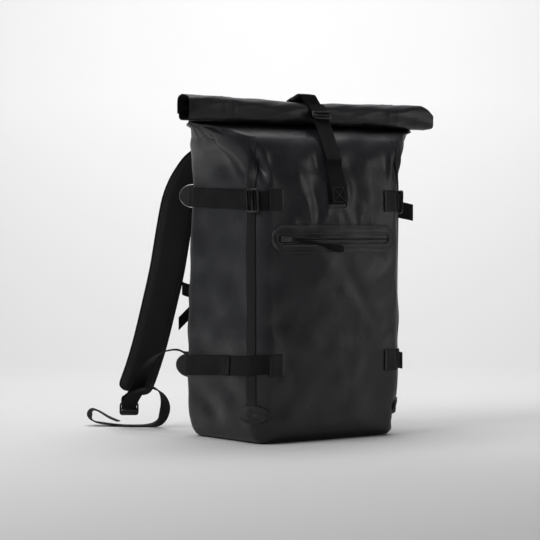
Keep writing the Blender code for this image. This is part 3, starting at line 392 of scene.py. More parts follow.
# Creases from one place on the cloth to another: width in metres, height as a share of the
# crease depth, standing out where it is positive.
CREASES = (
    # w, up, to_w, to_up, width, height
    (-1.30, 0.945, -1.27, 0.815, 0.008, -1.50),
    (-1.50, 0.925, -1.72, 0.825, 0.020, -1.00),
    (-1.09, 0.925, -1.07, 0.825, 0.007, 1.00),
    (-2.10, 0.935, -2.05, 0.830, 0.010, -0.90),
    (1.30, 0.945, 1.27, 0.815, 0.008, -1.20),
    (1.08, 0.925, 1.06, 0.825, 0.007, 0.90),
    (2.10, 0.935, 2.05, 0.830, 0.010, -0.90),
    (-0.61, 0.918, -0.60, 0.800, 0.012, 0.60),
    (-0.28, 0.935, -0.20, 0.832, 0.010, -0.60),
    (0.16, 0.900, 0.23, 0.748, 0.005, 0.28),
    (0.30, 0.900, 0.35, 0.770, 0.010, -0.22),
    (0.31, 0.800, 0.50, 0.690, 0.008, 0.15),
    (-0.11, 0.750, -0.28, 0.680, 0.005, 0.40),
    (0.12, 0.745, 0.28, 0.680, 0.006, 0.32),
    (-0.57, 0.790, -0.41, 0.680, 0.007, 0.50),
    (-0.40, 0.810, -0.25, 0.690, 0.007, -0.45),
    (0.58, 0.860, 0.62, 0.730, 0.012, 0.20),
    (-0.72, 0.705, -0.66, 0.675, 0.005, 0.25),
    (-0.47, 0.710, -0.44, 0.675, 0.004, 0.30),
    (0.02, 0.712, 0.04, 0.675, 0.004, 0.30),
    (0.40, 0.710, 0.41, 0.675, 0.004, 0.30),
    (0.62, 0.708, 0.60, 0.675, 0.004, 0.25),
    (-0.61, 0.568, -0.11, 0.447, 0.016, 0.35),
    (0.14, 0.547, 0.75, 0.346, 0.014, -0.40),
    (-0.61, 0.356, 0.14, 0.192, 0.018, 0.30),
    (-1.02, 0.452, -0.61, 0.138, 0.014, -0.30),
    (0.45, 0.450, 0.30, 0.080, 0.014, 0.30),
    (-2.65, 0.982, -1.95, 0.958, 0.004, 0.60),
    (-2.50, 0.972, -1.90, 0.950, 0.004, -0.70),
    (-2.93, 0.160, -2.40, 0.050, 0.016, -0.40),
    (-2.20, 0.160, -2.60, 0.040, 0.014, 0.30),
    (-2.05, 0.034, -1.20, 0.040, 0.005, -0.70),
    (2.05, 0.034, 1.20, 0.040, 0.005, -0.70),
)
STRAY_CREASES = 46
STRAY_SEED = 11
STRAY_WIDTH = (0.008, 0.020)
RIPPLE_COUNT = 12
RIPPLE_LENGTH = (0.045, 0.130)

# The band's first and last column at each height, a share of BAG_HEIGHT
SEAM_ROUTE = np.array((
    # up, first, last
    (0.764, *SEAM_W),
    (0.800, 1.60, 2.00),
    (0.835, 1.52, 1.89),
    (0.866, 1.40, 1.71),
    (0.898, 1.28, 1.54),
    (0.931, 1.12, 1.35),
    (0.957, 0.95, 1.16),
))

# Roll: along (share of half its length), height (share), drop (share of ROLL_SAG)
ROLL_STATIONS = np.array((
    (-1.00, 1.00, 0.0),
    (-0.93, 0.99, 0.0),
    (-0.60, 0.95, 0.4),
    (-0.25, 0.90, 0.9),
    (0.00, 0.89, 1.0),
    (0.25, 0.90, 0.9),
    (0.60, 0.95, 0.4),
    (0.90, 0.99, 0.0),
    (0.96, 0.88, 1.2),
    (1.00, 0.64, 3.0),
))

# Left shoulder strap where it is sewn on: up (share of STRAP_SEWN), width, thickness (shares)
STRAP_SEWN_ROWS = np.array((
    (-1.0, 0.74, 0.35),
    (-0.5, 0.76, 0.45),
    (0.0, 0.78, 0.50),
))
# Its free part: out (share of STRAP_SPREAD), back (share of STRAP_REACH), up (share from
# STRAP_END_Z to STRAP_ANCHOR_Z), turn of its width from straight across, and sizes (shares)
STRAP_ROUTE = np.array((
    # out, back, up, across, width, thickness
    (0.02, 0.030, 1.040, 0, 0.80, 0.60),
    (0.06, 0.110, 1.072, 4, 0.84, 0.80),
    (0.12, 0.200, 1.070, 8, 0.90, 1.00),
    (0.20, 0.300, 1.035, 12, 0.95, 1.00),
    (0.28, 0.385, 0.985, 14, 0.98, 1.00),
    (0.36, 0.470, 0.920, 15, 1.00, 1.00),
    (0.43, 0.535, 0.840, 15, 1.00, 1.00),
    (0.49, 0.590, 0.715, 15, 1.00, 1.00),
    (0.58, 0.650, 0.540, 15, 1.00, 1.00),
    (0.69, 0.710, 0.395, 15, 1.00, 1.00),
    (0.81, 0.820, 0.200, 15, 1.00, 1.00),
    (0.90, 0.905, 0.080, 15, 1.00, 1.00),
    (0.96, 0.965, 0.010, 15, 1.00, 0.95),
    (0.985, 0.988, -0.017, 15, 0.92, 0.85),
    (1.00, 1.000, -0.030, 15, 0.66, 0.70),
))
# Webbing from the bag's lower back to the lock: shares of that way, and its width's turn
LOWER_ROUTE = np.array((
    # along, up, out, turn
    (0.12, 1.04, 0.15, 60),
    (0.26, 1.06, 0.22, 52),
    (0.45, 0.99, 0.22, 44),
    (0.61, 0.84, 0.19, 25),
    (0.75, 0.58, 0.15, -5),
    (0.86, 0.32, 0.08, -18),
))
# Free end below the lock: shares of CURL_LENGTH, and its width's turn
CURL_ROUTE = np.array((
    # right, up, deep, turn
    (0.00, 0.44, 0.00, -37),
    (0.02, 0.56, -0.08, -37),
    (0.14, 0.76, -0.34, -20),
    (0.33, 0.95, -0.52, 12),
    (0.59, 1.02, -0.56, 40),
    (0.84, 0.88, -0.50, 70),
    (0.94, 0.58, -0.38, 90),
    (0.84, 0.24, -0.20, 88),
    (0.55, 0.04, 0.00, 66),
    (-0.05, 0.00, 0.12, 54),
    (-0.60, 0.04, 0.22, 54),
    (-0.92, 0.11, 0.28, 66),
    (-1.02, 0.26, 0.30, 78),
    (-0.95, 0.38, 0.30, 72),
    (-0.80, 0.36, 0.29, 60),
    (-0.52, 0.20, 0.27, 54),
    (-0.28, 0.10, 0.23, 54),
))


# Settings

class BackpackShell(bpy.types.PropertyGroup):
    """Coated cloth of the bag and its roll."""

    colour: FloatVectorProperty(
        name="Cloth colour", description="Colour of the coated cloth",
        default=(0.0165, 0.017, 0.0195),
        subtype="COLOR", size=3, min=0, max=1,
    )
    roughness: FloatProperty(
        name="Cloth roughness", description="Roughness of the coating", default=0.40, min=0, max=1,
    )
    crease: FloatProperty(
        name="Crease depth", description="Depth of a full crease", default=0.0062, unit="LENGTH",
    )
    ripple: FloatProperty(
        name="Ripple", description="Height of the cloth's slow ripples", default=0.0010, unit="LENGTH",
    )
    cell: FloatProperty(
        name="Mesh cell", description="Size of the cloth's mesh cells", default=0.0042, unit="LENGTH",
    )


class BackpackWebbing(bpy.types.PropertyGroup):
    """Woven webbing."""

    colour: FloatVectorProperty(
        name="Webbing colour", description="Colour of the webbing",
        default=(0.0062, 0.0062, 0.0072),
        subtype="COLOR", size=3, min=0, max=1,
    )
    rib: FloatProperty(
        name="Rib pitch", description="Distance between two ribs", default=0.0016, unit="LENGTH",
    )
    cell: FloatProperty(
        name="Mesh cell", description="Distance between two stations", default=0.003, unit="LENGTH",
    )
    stitch: FloatProperty(
        name="Stitch length", description="Length of one stitch", default=0.0026, unit="LENGTH",
    )


class BackpackPadding(bpy.types.PropertyGroup):
    """Padded shoulder straps."""

    colour: FloatVectorProperty(
        name="Strap colour", description="Colour of the strap's cloth",
        default=(0.0055, 0.0055, 0.0062),
        subtype="COLOR", size=3, min=0, max=1,
    )
    piping: FloatProperty(
        name="Piping", description="Radius of the piped edge", default=0.0019, unit="LENGTH",
    )
    fill: FloatProperty(
        name="Fill", description="From slack to tight", default=0.6, min=0, max=1,
    )


class BackpackHardware(bpy.types.PropertyGroup):
    """Moulded buckles, locks and the zip."""

    colour: FloatVectorProperty(
        name="Plastic colour", description="Colour of the moulded parts",
        default=(0.0060, 0.0060, 0.0065),
        subtype="COLOR", size=3, min=0, max=1,
    )
    roughness: FloatProperty(
        name="Plastic roughness", description="Roughness of the moulded parts", default=0.30,
        min=0, max=1,
    )
    sides: IntProperty(
        name="Section points", description="Points round a moulded section", default=24, min=8, max=64,
    )


class BackpackStage(bpy.types.PropertyGroup):
    """Floor, lights and camera."""

    colour: FloatVectorProperty(
        name="Floor colour", description="Colour of the floor and backdrop",
        default=(0.80, 0.80, 0.80),
        subtype="COLOR", size=3, min=0, max=1,
    )
    ambient: FloatProperty(name="Ambient", description="Strength of the room's light", default=0.05)
    key: FloatProperty(name="Key light", description="Power of the left soft light", default=26.5)
    fill: FloatProperty(name="Fill light", description="Power of the right soft light", default=5.0)
    front: FloatProperty(name="Front light", description="Power of the front soft light", default=2.8)
    top: FloatProperty(name="Top light", description="Power of the upper soft light", default=5.5)
    wall: FloatProperty(name="Wall light", description="Power of the backdrop's light", default=66.0)


# Number helpers

def mix(low, high, share):
    return low + (high - low) * share


def unit(vectors):
    return vectors / np.linalg.norm(vectors, axis=-1, keepdims=True)


def ease(value):
    """0 below 0, 1 above 1, and 3t^2 - 2t^3 between."""
    t = np.clip(value, 0, 1)
    return t * t * (3 - 2 * t)


def bell(value, width):
    """1 at 0, falling to both sides as e to the minus square of value / width."""
    return np.exp(-((value / width) ** 2))


def through(x, xs, ys):
    """Cubic through the rows of a table, its slope at a row the harmonic mean of its neighbours'."""
    step = np.diff(xs)
    slope = np.diff(ys) / step
    same = slope[:-1] * slope[1:] > 0
    total = np.where(same, slope[:-1] + slope[1:], 1.0)
    inner = np.where(same, 2 * slope[:-1] * slope[1:] / total, 0.0)
    tangent = np.concatenate([slope[:1], inner, slope[-1:]])
    x = np.clip(x, xs[0], xs[-1])
    k = np.clip(np.searchsorted(xs, x, side="right") - 1, 0, len(step) - 1)
    t = (x - xs[k]) / step[k]
    start = ys[k] * (1 + 2 * t) * (1 - t) ** 2 + tangent[k] * step[k] * t * (1 - t) ** 2
    end = ys[k + 1] * t**2 * (3 - 2 * t) + tangent[k + 1] * step[k] * t**2 * (t - 1)
    return start + end


def smooth(points, steps):
    """Catmull-Rom curve through rows of numbers, with this many steps between two."""
    points = np.asarray(points, float)
    ends = np.concatenate([2 * points[:1] - points[1:2], points, 2 * points[-1:] - points[-2:-1]])
    t = (np.arange(steps) / steps)[:, None]
    pieces = []
    for a, b, c, d in zip(ends, ends[1:], ends[2:], ends[3:]):
        slope, bend, twist = c - a, 2 * a - 5 * b + 4 * c - d, 3 * b - a - 3 * c + d
        pieces.append(b + 0.5 * (slope * t + bend * t**2 + twist * t**3))
    return np.concatenate(pieces + [points[-1:]])


def distance_along(path):
    """Length of a path up to each of its points."""
    steps = np.linalg.norm(np.diff(path, axis=0), axis=1)
    return np.concatenate([[0.0], np.cumsum(steps)])


def even(rows, cell):
    """Rows of numbers, led by x, y and z, read again at even distances along their path."""
    length = distance_along(rows[:, :3])
    at = np.linspace(0, length[-1], max(int(length[-1] / cell), 4) + 1)
    return np.stack([np.interp(at, length, column) for column in rows.T], axis=-1)


def turned(degrees):
    """Level unit vectors at these angles from +X towards +Y, in degrees."""
    angle = np.radians(degrees)
    return np.stack([np.cos(angle), np.sin(angle), 0 * angle], axis=-1)


def view_directions():
    """Level directions to the photo's right and away from its camera."""
    across, away = turned(np.array([-VIEW_TURN, 90 - VIEW_TURN]))
    return across, away


def mirrored(points, side):
    """Points of a left-hand piece, put on the given side."""
    return np.asarray(points) * [-side, 1.0, 1.0]


# The bag's cloth

UNROLLED = np.cumsum([
    0.0,
    BAG_WIDTH / 2 - FRONT_CORNER,
    FRONT_CORNER * pi / 2,
    FRONT_REACH + BACK_REACH - FRONT_CORNER - BACK_CORNER,
    BACK_CORNER * pi / 2,
    BAG_WIDTH / 2 - BACK_CORNER,
])


def unrolled(w):
    """Distance of column w from the front's centre along the cloth, in metres."""
    return np.sign(w) * np.interp(np.abs(w), np.arange(6), UNROLLED)


def column_at(distance):
    """Column w at a distance along the cloth from the front's centre."""
    return np.sign(distance) * np.interp(np.abs(distance), UNROLLED, np.arange(6))


def section_at(z):
    """Half-width, front, back, the two corner radii and bulge at height z."""
    up = z / BAG_HEIGHT
    spread, front_in, back_in, rounding, bulge = (
        through(up, SECTIONS[:, 0], SECTIONS[:, k]) for k in range(1, 6)
    )
    into_neck = np.clip((z - BAG_HEIGHT) / (NECK_RISE * NECK_FIRST), 0, 1)
    spread, front_in, back_in, rounding = (
        mix(value, 1.0, into_neck) for value in (spread, front_in, back_in, rounding)
    )
    neck_front = NECK_SET_BACK - FRONT_REACH - NECK_DEPTH / 2
    half = mix(BAG_WIDTH, NECK_WIDTH, spread) / 2
    front = mix(-FRONT_REACH, neck_front, front_in)
    back = mix(BACK_REACH, neck_front + NECK_DEPTH, back_in)
    full = FULL_ROUND * (back - front)
    below = np.clip(BOTTOM_ROUND - z, 0, BOTTOM_ROUND)
    inset = BOTTOM_TUCK * (1 - np.sqrt(1 - (below / BOTTOM_ROUND) ** 2))
    corners = [
        np.maximum(mix(own, most, rounding) - inset, SMALLEST_CORNER * own * (z < BOTTOM_ROUND))
        for own, most in ((FRONT_CORNER, FRONT_ROUND * full), (BACK_CORNER, full))
    ]
    return half - inset, front + inset, back - inset, *corners, bulge * FRONT_BULGE


def stray_creases():
    """Small creases all round the bag, mostly upright, from one seeded draw."""
    draw = np.random.default_rng(STRAY_SEED)
    w = draw.uniform(-4.9, 4.9, STRAY_CREASES)
    up = draw.uniform(0.12, 0.90, STRAY_CREASES)
    lean = draw.normal(0, 0.16, STRAY_CREASES)
    rise = draw.uniform(0.04, 0.16, STRAY_CREASES) * draw.choice([-1, 1], STRAY_CREASES)
    width = draw.uniform(*STRAY_WIDTH, STRAY_CREASES)
    height = draw.uniform(0.08, 0.24, STRAY_CREASES) * draw.choice([-1, 1], STRAY_CREASES)
    return np.stack([w, up, w + lean, up + rise, width, height], axis=-1)


ALL_CREASES = np.concatenate([np.array(CREASES), stray_creases()])


def relief(w, z):
    """How far the cloth stands out: hollows as bells, creases as bells across a line that fade
    towards its ends, and a sum of slow sine ripples."""
    shell = bpy.context.scene.backpack_shell
    out = np.zeros(np.shape(w))
    for at, up, spread_w, spread_up, share in DENTS:
        away = ((w - at) / spread_w) ** 2 + ((z / BAG_HEIGHT - up) / spread_up) ** 2
        out -= share * DENT_DEPTH * np.exp(-away)
    s = unrolled(w)
    for at, up, to_w, to_up, width, height in ALL_CREASES:
        start = np.array([unrolled(at), up * BAG_HEIGHT])
        way = np.array([unrolled(to_w), to_up * BAG_HEIGHT]) - start
        along = ((s - start[0]) * way[0] + (z - start[1]) * way[1]) / way.dot(way)
        near = np.clip(along, 0, 1)
        off = (s - start[0] - near * way[0]) ** 2 + (z - start[1] - near * way[1]) ** 2
        fade = 0.25 + 0.75 * np.sin(pi * near)
        out += height * shell.crease * np.exp(-off / width**2) * fade
    draw = np.random.default_rng(STRAY_SEED + 1)
    for wave in draw.uniform(*RIPPLE_LENGTH, RIPPLE_COUNT):
        turn, phase = draw.uniform(0, pi), draw.uniform(0, 2 * pi)
        way = s * np.cos(turn) + z * np.sin(turn)
        out += shell.ripple * np.sin(way * 2 * pi / wave + phase) / 3
    seam = ease((5 - np.abs(w)) / BACK_FADE)
    low = ease((z - FLAT_FOOT) / FOOT_FADE)
    high = ease((BAG_HEIGHT + NECK_RISE - z) / NECK_FADE)
    return out * seam * low * high


def skin_at(w, z):
    """Points of the outer cloth: a box with round corners, plus its bulge and relief."""
    w, z = np.broadcast_arrays(np.asarray(w, float), np.asarray(z, float))
    side, at = np.where(w < 0, -1.0, 1.0), np.abs(w)
    half, front, back, round_front, round_back, bulge = section_at(z)
    turn_front = np.clip(at - 1, 0, 1) * pi / 2
    turn_back = np.clip(at - 3, 0, 1) * pi / 2
    flat_front, flat_back = half - round_front, half - round_back
    x = np.where(
        at < 3,
        flat_front * np.clip(at, 0, 1) + round_front * np.sin(turn_front),
        flat_back * np.clip(5 - at, 0, 1) + round_back * np.cos(turn_back),
    )
    low, high = front + round_front, back - round_back
    y = np.where(
        at < 2,
        low - round_front * np.cos(turn_front),
        np.where(at < 3, mix(low, high, at - 2), high + round_back * np.sin(turn_back)),
    )
    y = y - bulge * np.clip(1 - np.clip(at, 0, 1) ** 2, 0, 1) ** 1.25
    turn = np.where(at < 3, turn_front, pi / 2 + turn_back)
    out = relief(w, z)
    return np.stack([side * (x + out * np.sin(turn)), y - out * np.cos(turn), z], axis=-1)


def skin_normal(w, z):
    """Outward unit normal of the cloth, from small steps along it."""
    w, z = np.broadcast_arrays(np.asarray(w, float), np.asarray(z, float))
    low = np.maximum(z - STEP, 0)
    step_w = 5 * STEP
    along = skin_at(w + step_w, z) - skin_at(w - step_w, z)
    upward = skin_at(w, z + STEP) - skin_at(w, low)
    return unit(np.cross(along, upward))


def lifted(w, z, lift):
    """Points of the cloth moved outwards by lift."""
    return skin_at(w, z) + skin_normal(w, z) * np.asarray(lift)[..., None]


def front_w(x, z):
    """The column w of the front's point at x."""
    half, _, _, corner, _, _ = section_at(z)
    flat = half - corner
    past = np.clip((np.abs(x) - flat) / corner, 0, 1)
    return np.sign(x) * np.where(np.abs(x) < flat, np.abs(x) / flat, 1 + np.arcsin(past) * 2 / pi)


def on_front(x, z, lift):
    """Points on the bag's front at x and z, moved outwards by lift."""
    return lifted(front_w(x, z), z, lift)


# Mesh helpers. A shape is its points, its quads, its other faces and a pair (u, v) for each point.

def outward(points, quads, ends, uv):
    """The shape with its faces turned outwards, told by the sign of its volume."""
    a, b, c, d = (points[quads[:, k]] for k in range(4))
    volume = (a * np.cross(b, c)).sum() + (a * np.cross(c, d)).sum()
    for end in ends:
        fan = points[end]
        volume += (fan[0] * np.cross(fan[1:-1], fan[2:])).sum()
    if volume < 0:
        quads, ends = quads[:, ::-1], [end[::-1] for end in ends]
    return points, quads, ends, uv


def tube(rings, uv=None, loop=False):
    """Shape through rows of points, each a closed outline, with flat ends or joined to a loop."""
    count, size = rings.shape[:2]
    i, j = np.meshgrid(np.arange(count if loop else count - 1), np.arange(size), indexing="ij")
    after, beside = (i + 1) % count * size, (j + 1) % size
    quads = np.stack([i * size + j, i * size + beside, after + beside, after + j], axis=-1)
    ends = [] if loop else [np.arange(size)[::-1], (count - 1) * size + np.arange(size)]
    uv = np.zeros((count, size, 2)) if uv is None else uv
    return outward(rings.reshape(-1, 3), quads.reshape(-1, 4), ends, uv.reshape(-1, 2))


def together(shapes):
    """One shape from several."""
    starts = np.cumsum([0] + [len(shape[0]) for shape in shapes])
    points = np.concatenate([shape[0] for shape in shapes])
    quads = np.concatenate([shape[1] + start for shape, start in zip(shapes, starts)])
    ends = [end + start for shape, start in zip(shapes, starts) for end in shape[2]]
    return points, quads, ends, np.concatenate([shape[3] for shape in shapes])


def piece(name, shape, look, replaces=()):
    """An object from a shape, with the finish that look makes and the nodes that it
    stands for."""
    points, quads, ends, uv = shape
    mesh = bpy.data.meshes.new(name)
    sizes = np.array([4] * len(quads) + [len(end) for end in ends])
    corners = np.concatenate([quads.ravel(), *ends]).astype(np.int32)
    mesh.vertices.add(len(points))
    mesh.vertices.foreach_set("co", np.ascontiguousarray(points, np.float32).ravel())
    mesh.loops.add(len(corners))
    mesh.loops.foreach_set("vertex_index", corners)
    mesh.polygons.add(len(sizes))
    mesh.polygons.foreach_set("loop_start", (np.cumsum(sizes) - sizes).astype(np.int32))
    mesh.update(calc_edges=True)
    layer = mesh.uv_layers.new(name="UVMap")
    layer.uv.foreach_set("vector", np.ascontiguousarray(uv[corners], np.float32).ravel())
    mesh.shade_smooth()
    mesh.set_sharp_from_angle(angle=radians(50))
    mesh.materials.append(finish(look))
    obj = bpy.data.objects.new(name, mesh)
    bpy.context.scene.collection.objects.link(obj)
    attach(obj, ROOT)
    if replaces:
        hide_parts(*replaces)
    return obj


def outline(width, thickness, cells=8):
    """Closed outline of a flat band with round edges: across and through."""
    round_edge = thickness / 2
    flat = np.linspace(-1, 1, cells + 1) * (width / 2 - round_edge)
    turn = np.linspace(-pi / 2, pi / 2, 5)[1:-1]
    right = [width / 2 - round_edge + round_edge * np.cos(turn), round_edge * np.sin(turn)]
    right = np.stack(right, -1)
    under = np.stack([flat, 0 * flat - round_edge], -1)
    return np.concatenate([under, right, -under, -right])


def oval(width, thickness, points, power=2.0):
    """Closed superellipse: cosine and sine of an even turn, raised to 2 / power."""
    turn = np.arange(points) / points * 2 * pi
    cosine, sine = np.cos(turn), np.sin(turn)
    across = np.sign(cosine) * np.abs(cosine) ** (2 / power) * width / 2
    return np.stack([across, np.sign(sine) * np.abs(sine) ** (2 / power) * thickness / 2], -1)


def frames(path, across, square=True):
    """Along, across and out at each point of a path."""
    along = unit(np.gradient(path, axis=0))
    across = np.broadcast_to(np.asarray(across, float), path.shape)
    if square:
        across = across - (across * along).sum(axis=-1, keepdims=True) * along
    across = unit(across)
    return along, across, unit(np.cross(along, across))


def carried(path, across, edge, square=True):
    """An outline carried along a path. edge is one outline, or one for each point of the path."""
    _, across, out = frames(path, across, square)
    edge = np.broadcast_to(edge, (len(path), *np.shape(edge)[-2:]))
    rings = path[:, None] + edge[..., :1] * across[:, None] + edge[..., 1:] * out[:, None]
    v = np.broadcast_to(distance_along(path)[:, None], edge.shape[:2])
    return tube(rings, np.stack([edge[..., 0], v], axis=-1))


def laid(w, middle, width, lift, thickness=WEBBING, cells=8):
    """A band laid on the cloth along columns w: its outline carried at heights middle."""
    edge = outline(width, thickness, cells)
    z = middle[:, None] + edge[None, :, 0]
    over = np.broadcast_to(lift, w.shape)[:, None] + thickness / 2 + edge[None, :, 1]
    rings = lifted(w[:, None], z, over)
    v = np.broadcast_to(distance_along(lifted(w, middle, 0.0))[:, None], z.shape)
    return tube(rings, np.stack([np.broadcast_to(edge[:, 0], z.shape), v], axis=-1))


def columns(first, last, cell=BAND_CELL):
    """Columns from first to last in rising order, about a cell apart along the cloth."""
    low, high = sorted((unrolled(first), unrolled(last)))
    return column_at(np.linspace(low, high, max(int((high - low) / cell), 4) + 1))


def stitches(line, out, pitch=PITCH, thread=THREAD):
    """Short threads along a line: square bars that dive into the cloth at both ends."""
    length = distance_along(line)
    long = bpy.context.scene.backpack_webbing.stitch
    middle = np.arange(pitch / 2, length[-1] - pitch / 2, pitch)
    share = np.array([-0.5, -0.32, 0.32, 0.5])
    at = middle[:, None] + share * long
    points = np.stack([np.interp(at, length, line[:, k]) for k in range(3)], axis=-1)
    outs = unit(np.stack([np.interp(at, length, out[:, k]) for k in range(3)], axis=-1))
    along = unit(points[:, -1:] - points[:, :1])
    side = np.cross(outs, along)
    rise = np.array([-1.0, 0.55, 0.55, -1.0])[:, None] * thread
    corner = np.array([(-1, -1), (1, -1), (1, 1), (-1, 1)]) * thread
    rings = (
        (points + outs * rise)[:, :, None]
        + side[:, :, None] * corner[:, :1]
        + outs[:, :, None] * corner[:, 1:]
    )
    count = len(rings)
    i, j = np.meshgrid(np.arange(3), np.arange(4), indexing="ij")
    one = np.stack([i * 4 + j, i * 4 + (j + 1) % 4, (i + 1) * 4 + (j + 1) % 4, (i + 1) * 4 + j], -1)
    one = np.concatenate([one.reshape(-1, 4), [[3, 2, 1, 0]], [[12, 13, 14, 15]]])
    quads = (one[None] + np.arange(count)[:, None, None] * 16).reshape(-1, 4)
    return outward(rings.reshape(-1, 3), quads, [], np.zeros((count * 16, 2)))


def place_at(middle, across, out):
    """A place: its middle and its x, y and z directions, with z along out."""
    out = unit(np.asarray(out, float))
    across = np.asarray(across, float)
    across = unit(across - across.dot(out) * out)
    return np.asarray(middle, float), np.stack([across, np.cross(out, across), out])


def moulded(place, stations, size, power=4.0):
    """A moulded bar along its place's y: superellipses of the stations' widths and heights."""
    middle, axes = place
    rows = np.array(stations)
    ring = oval(1.0, 1.0, bpy.context.scene.backpack_hardware.sides, power)
    local = np.zeros((len(rows), len(ring), 3))
    local[..., 0] = ring[:, 0] * rows[:, 1:2] * size[0]
    local[..., 1] = rows[:, :1] * size[1]
    local[..., 2] = ring[:, 1] * rows[:, 2:3] * size[2]
    return tube(middle + local @ axes)


ROUND_ENDS = (
    # along, width, height
    (-0.500, 0.86, 0.60),
    (-0.492, 0.95, 0.84),
    (-0.470, 1.00, 1.00),
    (0.470, 1.00, 1.00),
    (0.492, 0.95, 0.84),
    (0.500, 0.86, 0.60),
)


def lock(place, width, length, rim=LOCK_RIM, thickness=PLASTIC, flap=0.14):
    """A ladder lock: a rounded frame with a middle bar and a flap, a share of its length high."""
    middle, axes = place
    turn = np.linspace(0, pi / 2, 6)
    corner = rim * 1.1
    inner_x, inner_y = (width - rim) / 2 - corner, (length - rim) / 2 - corner
    path = np.concatenate([
        np.stack([
            sx * inner_x + corner * np.cos(turn + start),
            sy * inner_y + corner * np.sin(turn + start),
            0 * turn,
        ], -1)
        for sx, sy, start in ((1, 1, 0), (-1, 1, pi / 2), (-1, -1, pi), (1, -1, 1.5 * pi))
    ])
    along = unit(np.roll(path, -1, axis=0) - np.roll(path, 1, axis=0))
    side = np.cross(along, UPRIGHT)
    ring = oval(rim, thickness, 12, 3.2)
    rings = path[:, None] + side[:, None] * ring[:, :1]
    rings[..., 2] += ring[:, 1]
    shapes = [tube(middle + rings @ axes, loop=True)]
    for y, high in ((0.0, rim), (-0.25 * length, flap * length / 2)):
        bar_middle = middle + axes[1] * y
        bar = (bar_middle, np.stack([-axes[1], axes[0], axes[2]]))
        shapes.append(moulded(bar, ROUND_ENDS, (high, width - rim, thickness * 0.8), 2.6))
    return together(shapes)


# Finishes

class Finish:
    """Builds one node material: a Principled shader, its output and what feeds them."""

    def __init__(self, name, roughness, metallic=0.0, specular=0.5):
        self.material = bpy.data.materials.new(name)
        self.material.use_nodes = True
        self.tree = self.material.node_tree
        self.shader = self.tree.nodes["Principled BSDF"]
        self.set("Roughness", roughness)
        self.set("Metallic", metallic)
        self.set("Specular IOR Level", specular)
        self.places = self.tree.nodes.new("ShaderNodeTexCoord")

    def set(self, socket, value):
        self.shader.inputs[socket].default_value = value

    def join(self, output, node, socket):
        self.tree.links.new(output, node.inputs[socket])

    def noise(self, scale, detail=3.0, where="Object", roughness=0.55):
        node = self.tree.nodes.new("ShaderNodeTexNoise")
        node.inputs["Scale"].default_value = scale
        node.inputs["Detail"].default_value = detail
        node.inputs["Roughness"].default_value = roughness
        self.join(self.places.outputs[where], node, "Vector")
        return node.outputs["Fac"]

    def height(self, low, high, top, foot=0.0):
        """From low at the foot to high at the top, two heights above the floor."""
        node = self.tree.nodes.new("ShaderNodeSeparateXYZ")
        self.join(self.places.outputs["Object"], node, "Vector")
        return self.spread(node.outputs["Z"], low, high, foot, top)

    def waves(self, pitch, direction, where="UV", distortion=0.0):
        """Sine bands with this pitch in metres: the node's own period is 2 pi / 20 at scale 1."""
        node = self.tree.nodes.new("ShaderNodeTexWave")
        node.bands_direction = direction
        node.inputs["Scale"].default_value = 2 * pi / 20 / pitch
        node.inputs["Distortion"].default_value = distortion
        self.join(self.places.outputs[where], node, "Vector")
        return node.outputs["Fac"]

    def math(self, operation, first, second):
        node = self.tree.nodes.new("ShaderNodeMath")
        node.operation = operation
        for socket, value in ((0, first), (1, second)):
            if isinstance(value, float):
                node.inputs[socket].default_value = value
            else:
                self.join(value, node, socket)
        return node.outputs[0]

    def spread(self, value, low, high, start=0.3, end=0.7):
        node = self.tree.nodes.new("ShaderNodeMapRange")
        self.join(value, node, "Value")
        node.inputs["From Min"].default_value = start
        node.inputs["From Max"].default_value = end
        node.inputs["To Min"].default_value = low
        node.inputs["To Max"].default_value = high
        return node.outputs["Result"]

    def tint(self, value, dark, light):
        """Base colour between two colours by a value."""
        node = self.tree.nodes.new("ShaderNodeMix")
        node.data_type = "RGBA"
        self.join(value, node, "Factor")
        node.inputs["A"].default_value = (*dark, 1.0)
        node.inputs["B"].default_value = (*light, 1.0)
        self.join(node.outputs["Result"], self.shader, "Base Color")

    def mottle(self, scale, detail, dark, light):
        """Base colour between two colours by a noise."""
        self.tint(self.spread(self.noise(scale, detail), 0.0, 1.0), dark, light)

    def bump(self, height, distance, strength=1.0, under=None):
        node = self.tree.nodes.new("ShaderNodeBump")
        node.inputs["Distance"].default_value = distance
        node.inputs["Strength"].default_value = strength
        self.join(height, node, "Height")
        if under is not None:
            self.join(under, node, "Normal")
        return node.outputs["Normal"]

    def done(self, normal):
        self.join(normal, self.shader, "Normal")
        return self.material


def shade(colour, share):
    return tuple(min(1.0, value * share) for value in colour)


def finish(look):
    """The material that a look's function makes, under the function's name, at its first use."""
    return bpy.data.materials.get(look.__name__) or look(look.__name__)


def coated_cloth(name, foot=0.0, top=0.26):
    """Matt coating over a fine plain weave, with painted shade making it darker towards the foot:
    mottle, grain and weave.
    """
    shell = bpy.context.scene.backpack_shell
    look = Finish(name, shell.roughness, specular=0.42)
    mottle = look.noise(scale=11.0, detail=4.0)
    grain = look.noise(scale=420.0, detail=2.0)
    # mottle plus painted shade: the colour darkens from the height top down to the height foot
    tint_share = look.math("ADD", look.spread(mottle, 0.0, 0.4), look.height(0.0, 0.6, top, foot))
    look.tint(tint_share, shade(shell.colour, 0.35), shade(shell.colour, 1.35))
    rough = look.math("ADD", look.spread(mottle, -0.05, 0.05), look.spread(grain, -0.03, 0.03))
    look.join(look.math("ADD", rough, float(shell.roughness)), look.shader, "Roughness")
    weave = look.math("MULTIPLY", look.waves(CLOTH_WEAVE, "X"), look.waves(CLOTH_WEAVE, "Y"))
    normal = look.bump(weave, distance=0.00004, strength=0.35)
    normal = look.bump(grain, distance=0.00012, strength=0.35, under=normal)
    ripples = look.noise(scale=70.0, detail=4.0)
    normal = look.bump(ripples, distance=0.0005, strength=0.5, under=normal)
    folds = look.noise(scale=24.0, detail=5.0)
    return look.done(look.bump(folds, distance=0.0017, strength=0.7, under=normal))


